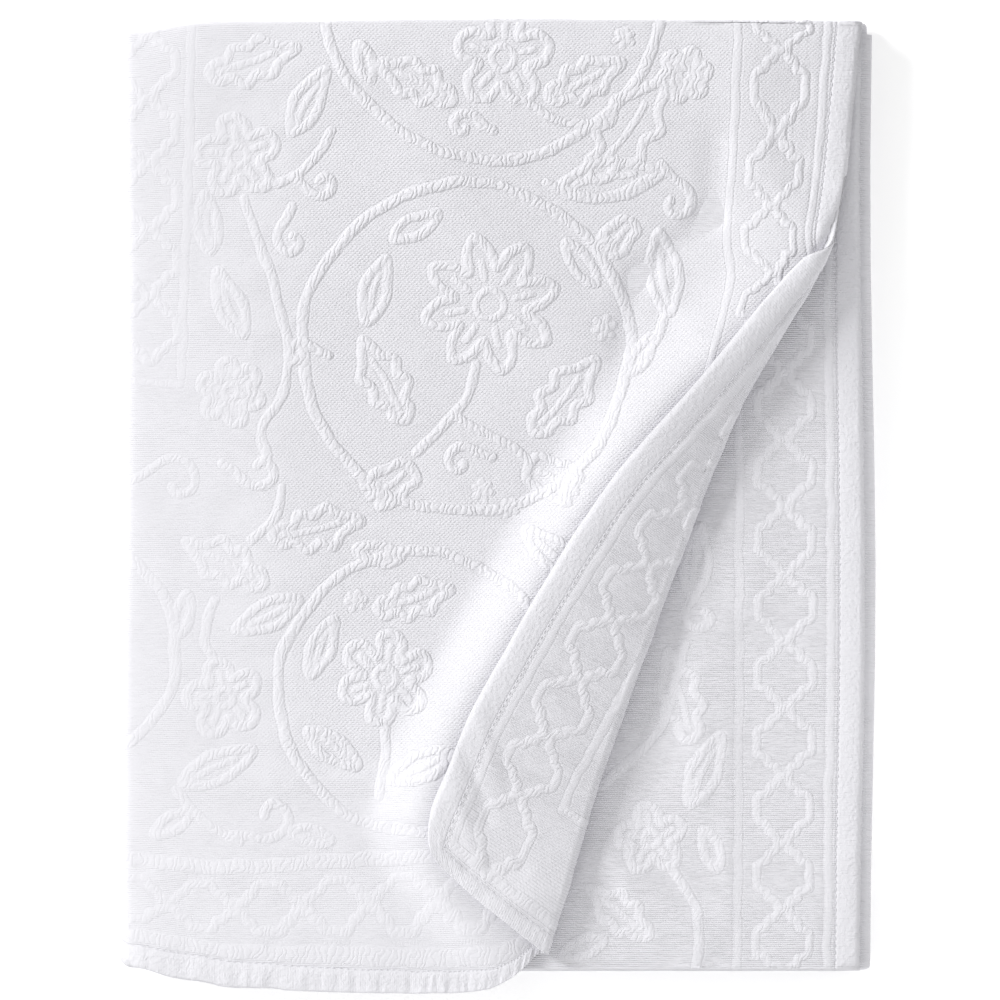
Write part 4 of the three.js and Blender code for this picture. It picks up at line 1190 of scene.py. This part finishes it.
def build_sheet(height_scale):
    """The cloth as one closed sheet, with the values that its material reads."""
    leaves = {side: divide_side(side) for side in ("face", "back")}
    used = {side: lattice_use(leaves[side]) for side in leaves}
    rim = np.zeros_like(used["face"])
    rim[0, :] = rim[-1, :] = True
    rim[:, 0] = rim[:, -1] = True
    shared = (used["face"] | used["back"]) & rim
    all_places, all_uv, all_faces = [], [], []
    all_values = {}
    numbers = {}
    start = 0
    for side in ("face", "back"):
        used[side] |= shared
        faces, extra = lattice_faces(leaves[side], used[side])
        i, j = np.nonzero(extra)
        number = np.full(extra.shape, -1)
        number[i, j] = np.arange(len(i)) + start
        numbers[side] = number
        s, t = spread_point(i.astype(float), j.astype(float))
        places, uv, values = surface(side, s, t, height_scale)
        all_places.append(places)
        all_uv.append(uv)
        for key, column in values.items():
            all_values.setdefault(key, []).append(column)
        for face in faces:
            corners = [int(number[place]) for place in face]
            all_faces.append(corners[::-1] if side == "face" else corners)
        start += len(i)
    loop = rim_loop(shared)
    for index, place in enumerate(loop):
        after = loop[(index + 1) % len(loop)]
        all_faces.append([int(numbers["face"][place]), int(numbers["face"][after]),
                          int(numbers["back"][after]), int(numbers["back"][place])])
    piece = object_from("coverlet_sheet", to_world(np.concatenate(all_places)).tolist(), all_faces)
    mesh = piece.data
    uv = np.concatenate(all_uv)
    corner_vertex = np.zeros(len(mesh.loops), int)
    mesh.loops.foreach_get("vertex_index", corner_vertex)
    layer = mesh.uv_layers.new(name="weave")
    layer.data.foreach_set("uv", uv[corner_vertex].ravel().astype(np.float32))
    joined = {key: np.concatenate(columns) for key, columns in all_values.items()}
    calm_jumps(mesh, corner_vertex, joined)
    for key, values in joined.items():
        attribute = mesh.attributes.new(name=key, type="FLOAT", domain="POINT")
        attribute.data.foreach_set("value", values.astype(np.float32))
    mesh.polygons.foreach_set("use_smooth", np.ones(len(mesh.polygons), bool))
    mesh.update()
    return piece


# The stitches of the hems that show: small threads in the seam.
STITCHES = "hem_stitches"
STITCH_PITCH = 4.2
STITCH_LENGTH = 2.8
STITCH_RADIUS = 0.26
STITCH_SIDES = 6
# Along a stitch: share of its length, share of its radius, height of its middle over the seam.
STITCH_STATIONS = ((-0.5, 0.4, -0.1), (-0.3, 0.9, 0.12), (0.0, 1.0, 0.2), (0.3, 0.9, 0.12), (0.5, 0.4, -0.1))
SEAM_PLACE = HEM_WIDTH + 0.2
# How far a seam starts beyond the turned-back corner and its apex, and stops short of its apex and its tip.
PAST_CORNER = 12.0
PAST_APEX = 8.0
SHORT_OF_APEX = 6.0
SHORT_OF_TIP = 4.0


def seams():
    """The seams that show: side of the cloth, whether it runs along the side hem, and its two ends."""
    apex = TOP_PLY_LENGTH - LAPEL["along"][2]
    turned = TOP_PLY_LENGTH - LAPEL["along"][3]
    return (
        ("face", False, LAPEL["turned"][-1] + PAST_CORNER, FRONT_WIDTH),
        ("face", True, apex + PAST_APEX, TOP_PLY_LENGTH),
        ("back", True, HEM_WIDTH, turned - SHORT_OF_APEX),
        ("back", False, HEM_WIDTH, LAPEL["turned"][-1] - SHORT_OF_TIP),
        ("back", True, SECOND_PLY_START, SECOND_PLY_END),
    )


def stitch_faces(first):
    """Faces of one stitch from its first vertex: its sides and its two ends."""
    faces = []
    for low in range(first, first + (len(STITCH_STATIONS) - 1) * STITCH_SIDES, STITCH_SIDES):
        high = low + STITCH_SIDES
        for corner in range(STITCH_SIDES):
            after = (corner + 1) % STITCH_SIDES
            faces.append([low + corner, low + after, high + after, high + corner])
    last = first + (len(STITCH_STATIONS) - 1) * STITCH_SIDES
    faces.append([first + corner for corner in reversed(range(STITCH_SIDES))])
    faces.append([last + corner for corner in range(STITCH_SIDES)])
    return faces


def build_stitches(height_scale):
    """Each stitch as a short closed thread that follows the seam."""
    vertices, faces = [], []
    ring = 2 * math.pi * np.arange(STITCH_SIDES) / STITCH_SIDES
    for side, along_side, start, end in seams():
        middles = np.arange(start + STITCH_PITCH / 2, end - STITCH_PITCH / 2, STITCH_PITCH)
        rows = []
        for share, _, _ in STITCH_STATIONS:
            run = middles + share * STITCH_LENGTH
            across = np.full(len(run), SEAM_PLACE)
            s, t = (across, run) if along_side else (run, across)
            place, _, _ = surface(side, s, t, height_scale)
            rows.append((place, cloth_normal(s, t) * (1 if side == "face" else -1)))
        for index in range(len(middles)):
            faces += stitch_faces(len(vertices))
            way = rows[-1][0][index] - rows[0][0][index]
            for (place, normal), (_, radius, height) in zip(rows, STITCH_STATIONS):
                up = normal[index]
                beside = np.cross(way, up)
                beside /= np.linalg.norm(beside)
                middle = place[index] + height * up
                for angle in ring:
                    out = beside * math.cos(angle) + up * math.sin(angle)
                    vertices.append(middle + STITCH_RADIUS * radius * out)
    piece = object_from(STITCHES, to_world(np.array(vertices)).tolist(), faces)
    piece.data.polygons.foreach_set("use_smooth", np.ones(len(faces), bool))
    piece.data.update()
    return piece


# Materials.


class NodeDesk:
    """Lays out a material's nodes."""

    def __init__(self, name):
        self.material = bpy.data.materials.new(name)
        self.material.use_nodes = True
        self.tree = self.material.node_tree
        self.shader = self.tree.nodes["Principled BSDF"]

    def node(self, kind, **settings):
        made = self.tree.nodes.new(kind)
        for key, value in settings.items():
            setattr(made, key, value)
        return made

    def link(self, source, target):
        self.tree.links.new(source, target)

    def maths(self, operation, *values):
        made = self.node("ShaderNodeMath", operation=operation)
        for index, value in enumerate(values):
            if isinstance(value, (int, float)):
                made.inputs[index].default_value = value
            else:
                self.link(value, made.inputs[index])
        return made.outputs[0]

    def times(self, first, second):
        return self.maths("MULTIPLY", first, second)

    def add(self, first, share, second):
        """first times share, plus second."""
        return self.maths("MULTIPLY_ADD", first, share, second)

    def wave(self, value, turn):
        """The sine of value times turn."""
        return self.maths("SINE", self.times(value, turn))

    def humps(self, value, power):
        """Rounded humps, one for each whole step of the value, with sharp creases between them."""
        return self.maths("POWER", self.maths("ABSOLUTE", self.wave(value, math.pi)), power)

    def noise(self, place, scale, detail):
        made = self.node("ShaderNodeTexNoise", noise_dimensions="2D")
        made.inputs["Scale"].default_value = scale
        made.inputs["Detail"].default_value = detail
        self.link(place, made.inputs["Vector"])
        return made.outputs["Fac"]

    def ramp(self, value, low, high):
        """A smooth step from 0 at low to 1 at high."""
        made = self.node("ShaderNodeMapRange", interpolation_type="SMOOTHSTEP")
        made.inputs["From Min"].default_value = low
        made.inputs["From Max"].default_value = high
        self.link(value, made.inputs["Value"])
        return made.outputs["Result"]

    def blend(self, share, first, second):
        """first where share is 0 and second where it is 1."""
        made = self.node("ShaderNodeMix", data_type="FLOAT")
        for socket, value in (("Factor", share), ("A", first), ("B", second)):
            self.link(value, made.inputs[socket])
        return made.outputs[0]

    def stretch(self, place, across, along):
        """The place with its two coordinates scaled."""
        made = self.node("ShaderNodeVectorMath", operation="MULTIPLY")
        made.inputs[1].default_value = (across, along, 1)
        self.link(place, made.inputs[0])
        return made.outputs[0]

    def bell(self, value, middle, spread):
        """1 at the middle, falling to 0 on both sides."""
        away = self.times(self.maths("SUBTRACT", value, middle), 1 / spread)
        return self.maths("POWER", math.e, self.times(self.times(away, away), -1.0))

    def attribute(self, name):
        return self.node("ShaderNodeAttribute", attribute_name=name).outputs["Fac"]

    def bump(self, height, strength, distance):
        """Raises the surface by a height, which is in units of the distance."""
        made = self.node("ShaderNodeBump")
        made.inputs["Strength"].default_value = strength
        made.inputs["Distance"].default_value = distance
        self.link(height, made.inputs["Height"])
        self.link(made.outputs["Normal"], self.shader.inputs["Normal"])

    def tint(self, share, colour, shade):
        """The colour, a little darker where the share is low."""
        made = self.node("ShaderNodeMix", data_type="RGBA")
        made.inputs["A"].default_value = (*[part * shade for part in colour], 1)
        made.inputs["B"].default_value = (*colour, 1)
        self.link(share, made.inputs["Factor"])
        self.link(made.outputs["Result"], self.shader.inputs["Base Color"])


# Noises of the cotton, in its own millimetres: scale, detail.
FUZZ = (1.3, 3.0)
DRIFT = (0.11, 2.0)
PATCH = (0.4, 2.0)
CLOUD = (0.035, 2.0)
JITTER = 3.0
# Ground weave: pitch of the pebbles, how far patches push them aside, and shares of what makes them up.
PEBBLE_PITCH = 2.7
PEBBLE_PUSH = 2.2
PEBBLE_ROW = 0.6
PEBBLE_GRAIN = 0.33
PEBBLE_LOOSE = 1.1
LINE_SHARE = 0.8
LINE_STREAKS = 2.2
FUZZ_SHARE = 0.06
GROUND_ON_CORD = -0.6
# Cords: where their edge lies in the bump, the tight line beside them, the flank and the puckers.
CORD_EDGE = (0.45, -0.75)
DENT = (0.75, 0.6, -0.18)
FLANK_SHARE = 0.15
PILLOW_POWER = 0.85
# Hem: its edge in the bump, its seam, and its creases with the patches in which they show.
HEM_EDGE = (0.1, -0.7)
SEAM = (0.6, -0.35)
CREASE_POWER = 0.7
CREASE_DEPTH = 0.2
CREASE_PATCHES = (0.3, 0.65)


def ground_weave(desk, settings, uv, u, v, patch, jitter):
    """Rows of uneven pebbles, or fine lines on the second ply, at the borders and down the left side."""
    across = desk.add(patch, PEBBLE_PUSH, desk.times(u, 2 * math.pi / PEBBLE_PITCH))
    upward = desk.maths("SINE", desk.add(v, math.pi / settings.weave_rows, jitter))
    grain = desk.times(desk.maths("SINE", across), upward)
    loose = desk.noise(desk.stretch(uv, 0.8, 1.0), 1.0, 1.0)
    pebbles = desk.add(desk.maths("ABSOLUTE", upward), PEBBLE_ROW, desk.times(grain, PEBBLE_GRAIN))
    pebbles = desk.add(loose, PEBBLE_LOOSE, pebbles)
    streaks = desk.noise(desk.stretch(uv, 0.16, 0.95), 1.0, 1.0)
    lines = desk.wave(v, 2 * math.pi / settings.line_pitch)
    lines = desk.add(lines, LINE_SHARE, desk.times(streaks, LINE_STREAKS))
    return desk.blend(desk.attribute("lined"), pebbles, lines)


def cord_surface(desk, settings, u, v, cord, patch, jitter):
    """The flank of a cord with the tight line beside it, and the puckers: upright creases that lean a little,
    so that they cross a level cord, twist round a slanting one and hardly mark an upright one."""
    dent_place, dent_spread, dent_depth = DENT
    dent = desk.bell(desk.attribute("edge"), dent_place, dent_spread)
    flank = desk.times(desk.attribute("bold"), desk.add(dent, dent_depth, desk.times(cord, FLANK_SHARE)))
    lean = desk.times(desk.attribute("lean"), v)
    phase = desk.add(u, 1 / settings.rib_pitch, desk.add(lean, -1 / settings.rib_pitch, jitter))
    pillow = desk.times(desk.humps(phase, PILLOW_POWER), desk.add(patch, 1.0, 0.5))
    pucker = desk.times(desk.times(pillow, cord), desk.attribute("rib"))
    return desk.add(pucker, settings.rib_depth, flank)


def cotton_material(settings):
    """White cotton in relief. The heights of its bump are in millimetres."""
    desk = NodeDesk("white_matelasse_cotton")
    uv = desk.node("ShaderNodeUVMap", uv_map="weave").outputs["UV"]
    split = desk.node("ShaderNodeSeparateXYZ")
    desk.link(uv, split.inputs[0])
    u, v = split.outputs[0], split.outputs[1]
    inset = desk.attribute("inset")
    in_hem = desk.ramp(inset, HEM_WIDTH + HEM_EDGE[0], HEM_WIDTH + HEM_EDGE[1])
    hem = desk.times(desk.attribute("hem"), in_hem)
    patch = desk.noise(uv, *PATCH)
    jitter = desk.times(desk.noise(uv, *DRIFT), JITTER)

    hem_line = desk.wave(desk.attribute("hem_run"), 2 * math.pi / settings.hem_pitch)
    hem_line = desk.times(hem_line, desk.add(patch, 0.3, 0.02))
    weave = desk.blend(hem, ground_weave(desk, settings, uv, u, v, patch, jitter), hem_line)
    cord = desk.ramp(desk.attribute("edge"), *CORD_EDGE)
    cord = desk.times(cord, desk.ramp(inset, HEM_WIDTH, HEM_WIDTH + 1.0))
    ground = desk.times(desk.times(weave, desk.attribute("bold")), settings.weave_depth)
    ground = desk.add(desk.noise(uv, *FUZZ), FUZZ_SHARE, ground)
    ground = desk.times(ground, desk.add(cord, GROUND_ON_CORD, 1.0))
    height = desk.maths("ADD", ground, cord_surface(desk, settings, u, v, cord, patch, jitter))

    seam_spread, seam_depth = SEAM
    height = desk.add(desk.bell(inset, HEM_WIDTH, seam_spread), seam_depth, height)
    crease = desk.humps(desk.maths("ADD", desk.attribute("gather"), jitter), CREASE_POWER)
    crease = desk.times(desk.times(crease, hem), desk.ramp(patch, *CREASE_PATCHES))
    desk.bump(desk.add(crease, CREASE_DEPTH, height), 1.0, MM)

    desk.tint(desk.noise(uv, *CLOUD), settings.colour, 0.98)
    desk.shader.inputs["Roughness"].default_value = settings.roughness
    desk.shader.inputs["Sheen Weight"].default_value = 0.12
    desk.shader.inputs["Sheen Roughness"].default_value = 0.5
    desk.shader.inputs["Specular IOR Level"].default_value = 0.2
    return desk.material


THREAD_TWIST = 3.0


def thread_material(settings):
    """Twisted cotton thread with fine turns, its colour a little darker in the grooves of the twist as
    painted shade.
    """
    desk = NodeDesk("white_cotton_thread")
    place = desk.node("ShaderNodeTexCoord").outputs["Object"]
    twist = desk.node("ShaderNodeTexWave", wave_type="BANDS", bands_direction="DIAGONAL")
    twist.inputs["Scale"].default_value = 1 / (THREAD_TWIST * MM)
    twist.inputs["Distortion"].default_value = 1.5
    desk.link(place, twist.inputs["Vector"])
    desk.bump(twist.outputs["Fac"], 0.6, 0.1 * MM)
    # Painted shade: the colour follows the twist's bands and is a little darker in the grooves between the
    # turns.
    desk.tint(twist.outputs["Fac"], settings.colour, 0.96)
    desk.shader.inputs["Roughness"].default_value = 0.8
    desk.shader.inputs["Specular IOR Level"].default_value = 0.25
    return desk.material


def plain_material(name, colour, roughness, glow):
    """An even matt surface that also gives a little light."""
    desk = NodeDesk(name)
    desk.shader.inputs["Base Color"].default_value = (*colour, 1)
    desk.shader.inputs["Roughness"].default_value = roughness
    desk.shader.inputs["Specular IOR Level"].default_value = 0.1
    desk.shader.inputs["Emission Color"].default_value = (1, 1, 1, 1)
    desk.shader.inputs["Emission Strength"].default_value = glow
    return desk.material


# Floor and view in metres. The camera looks at a place a little off the packet's middle, in millimetres.
FLOOR_SIZE = 8.0
VIEW_X = 1.8
VIEW_Y = 1.8
SENSOR_WIDTH = 36.0
FAR_CLIP = 50.0
# Soft lights, in metres: x, y, height, size, and where each one points.
LIGHTS = {
    "key": (-2.8, 1.6, 1.62, 1.2, 0.0, 0.0),
    "left": (-0.55, -0.05, 0.80, 0.5, -0.20, -0.05),
    "near": (-0.10, -0.80, 0.45, 0.6, -0.05, -0.25),
    "right": (0.52, -0.10, 0.26, 0.4, 0.24, -0.05),
    "far": (0.14, 0.66, 0.26, 0.4, 0.12, 0.30),
}

# Sizes and colours that a user would change.


class CoverletSettings(bpy.types.PropertyGroup):
    cord_height: FloatProperty(name="Cord height", description="How far a cord stands up, in millimetres",
                               default=0.58, min=0.2, max=3.0)
    weave_rows: FloatProperty(name="Weave rows", description="Pitch of the weave's rows, in millimetres",
                              default=1.25, min=0.5, max=5.0)
    line_pitch: FloatProperty(name="Line pitch", description="Pitch of the fine lines, in millimetres",
                              default=1.2, min=0.5, max=5.0)
    hem_pitch: FloatProperty(name="Hem line pitch", description="Pitch of lines across a hem, in millimetres",
                             default=1.5, min=0.5, max=5.0)
    weave_depth: FloatProperty(name="Weave depth", description="Height of the ground weave, in millimetres",
                               default=0.28, min=0.0, max=1.0)
    rib_pitch: FloatProperty(name="Rib pitch", description="Pitch of the puckers on a cord, in millimetres",
                             default=3.6, min=1.0, max=10.0)
    rib_depth: FloatProperty(name="Rib depth", description="Depth of the puckers on a cord, in millimetres",
                             default=0.46, min=0.0, max=1.0)
    roughness: FloatProperty(name="Roughness", description="Roughness of the cotton", default=0.92,
                             min=0.0, max=1.0, subtype="FACTOR")
    colour: FloatVectorProperty(name="Cotton colour", description="Colour of the cloth", subtype="COLOR",
                                size=3, default=(0.79, 0.784, 0.82), min=0.0, max=1.0)


class StageSettings(bpy.types.PropertyGroup):
    floor_colour: FloatVectorProperty(name="Floor colour", description="Colour of the floor", subtype="COLOR",
                                      size=3, default=(0.93, 0.93, 0.93), min=0.0, max=1.0)
    floor_glow: FloatProperty(name="Floor glow", description="Light that the floor gives by itself",
                              default=0.33, min=0.0)
    camera_height: FloatProperty(name="Camera height", description="Height of the camera above the floor",
                                 default=3.0, min=0.5, unit="LENGTH")
    view_width: FloatProperty(name="View width", description="Width that the camera sees", default=0.6,
                              min=0.1, unit="LENGTH")
    key_power: FloatProperty(name="Key light", description="Power of the large light at the left",
                             default=113.0, min=0.0, unit="POWER")
    left_power: FloatProperty(name="Left light", description="Power of the small light over the left edge",
                              default=1.05, min=0.0, unit="POWER")
    near_power: FloatProperty(name="Near light", description="Power of the light over the bottom hem",
                              default=1.85, min=0.0, unit="POWER")
    right_power: FloatProperty(name="Right light", description="Power of the light over the right edge",
                               default=0.62, min=0.0, unit="POWER")
    far_power: FloatProperty(name="Far light", description="Power of the light over the top fold",
                             default=0.4, min=0.0, unit="POWER")
    room_light: FloatProperty(name="Room light", description="Strength of the light all round", default=0.39,
                              min=0.0)


class OBJECT_OT_coverlet_sheet(bpy.types.Operator):
    """Makes the folded coverlet as one sheet with its raised pattern and hem"""
    bl_idname = "object.coverlet_sheet"
    bl_label = "Coverlet"

    def execute(self, context):
        settings = context.scene.coverlet_settings
        deselect()
        build_fields()
        piece = build_sheet(settings.cord_height)
        piece.data.materials.append(cotton_material(settings))
        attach(piece, "root")
        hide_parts("coverlet")
        return {"FINISHED"}


class OBJECT_OT_hem_stitches(bpy.types.Operator):
    """Makes the row of stitches along each hem that shows. The coverlet is made after it"""
    bl_idname = "object.hem_stitches"
    bl_label = "Hem stitches"

    def execute(self, context):
        settings = context.scene.coverlet_settings
        deselect()
        build_fields()
        piece = build_stitches(settings.cord_height)
        piece.data.materials.append(thread_material(settings))
        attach(piece, "root")
        return {"FINISHED"}


class OBJECT_OT_coverlet_stage(bpy.types.Operator):
    """Makes the pale floor, the soft lights and the camera above"""
    bl_idname = "object.coverlet_stage"
    bl_label = "Stage"

    def execute(self, context):
        settings = context.scene.coverlet_stage
        deselect()
        bpy.ops.mesh.primitive_plane_add(size=FLOOR_SIZE, location=(0, 0, 0))
        floor = context.active_object
        floor.name = "floor"
        pale = plain_material("pale_floor", settings.floor_colour, roughness=0.9, glow=settings.floor_glow)
        floor.data.materials.append(pale)

        centre_x = VIEW_X * MM - PACKET_CENTRE_X * MM
        centre_y = VIEW_Y * MM - PACKET_CENTRE_Y * MM
        deselect()
        bpy.ops.object.camera_add(location=(centre_x, centre_y, settings.camera_height), rotation=(0, 0, 0))
        camera = context.active_object
        camera.data.sensor_width = SENSOR_WIDTH
        camera.data.lens = SENSOR_WIDTH * settings.camera_height / settings.view_width
        camera.data.clip_end = FAR_CLIP
        context.scene.camera = camera

        powers = {"key": settings.key_power, "left": settings.left_power, "near": settings.near_power,
                  "right": settings.right_power, "far": settings.far_power}
        for name, power in powers.items():
            x, y, z, size, aim_x, aim_y = LIGHTS[name]
            deselect()
            bpy.ops.object.light_add(type="AREA", location=(x, y, z))
            light = context.active_object
            light.name = name + "_light"
            light.data.size = size
            light.data.energy = power
            aim = Vector((aim_x, aim_y, 0)) - light.location
            light.rotation_euler = aim.to_track_quat("-Z", "Y").to_euler()

        world = bpy.data.worlds.new("room")
        world.use_nodes = True
        background = world.node_tree.nodes["Background"]
        background.inputs["Color"].default_value = (1.0, 1.0, 1.0, 1)
        background.inputs["Strength"].default_value = settings.room_light
        context.scene.world = world
        context.scene.view_settings.view_transform = "Standard"
        return {"FINISHED"}


class VIEW3D_PT_coverlet(bpy.types.Panel):
    bl_label = "Coverlet"
    bl_idname = "VIEW3D_PT_coverlet"
    bl_space_type = "VIEW_3D"
    bl_region_type = "UI"
    bl_category = "Coverlet"

    def draw(self, context):
        layout = self.layout
        for settings in (context.scene.coverlet_settings, context.scene.coverlet_stage):
            for name in settings.__annotations__:
                layout.prop(settings, name)
        layout.operator(OBJECT_OT_hem_stitches.bl_idname)
        layout.operator(OBJECT_OT_coverlet_sheet.bl_idname)
        layout.operator(OBJECT_OT_coverlet_stage.bl_idname)


CLASSES = (CoverletSettings, StageSettings, OBJECT_OT_hem_stitches, OBJECT_OT_coverlet_sheet,
           OBJECT_OT_coverlet_stage, VIEW3D_PT_coverlet)


def register():
    for made in CLASSES:
        bpy.utils.register_class(made)
    bpy.types.Scene.coverlet_settings = PointerProperty(type=CoverletSettings)
    bpy.types.Scene.coverlet_stage = PointerProperty(type=StageSettings)


def unregister():
    del bpy.types.Scene.coverlet_stage
    del bpy.types.Scene.coverlet_settings
    for made in reversed(CLASSES):
        bpy.utils.unregister_class(made)


def main():
    register()
    bpy.ops.object.hem_stitches()
    bpy.ops.object.coverlet_sheet()
    bpy.ops.object.coverlet_stage()


if __name__ == "__main__":
    main()
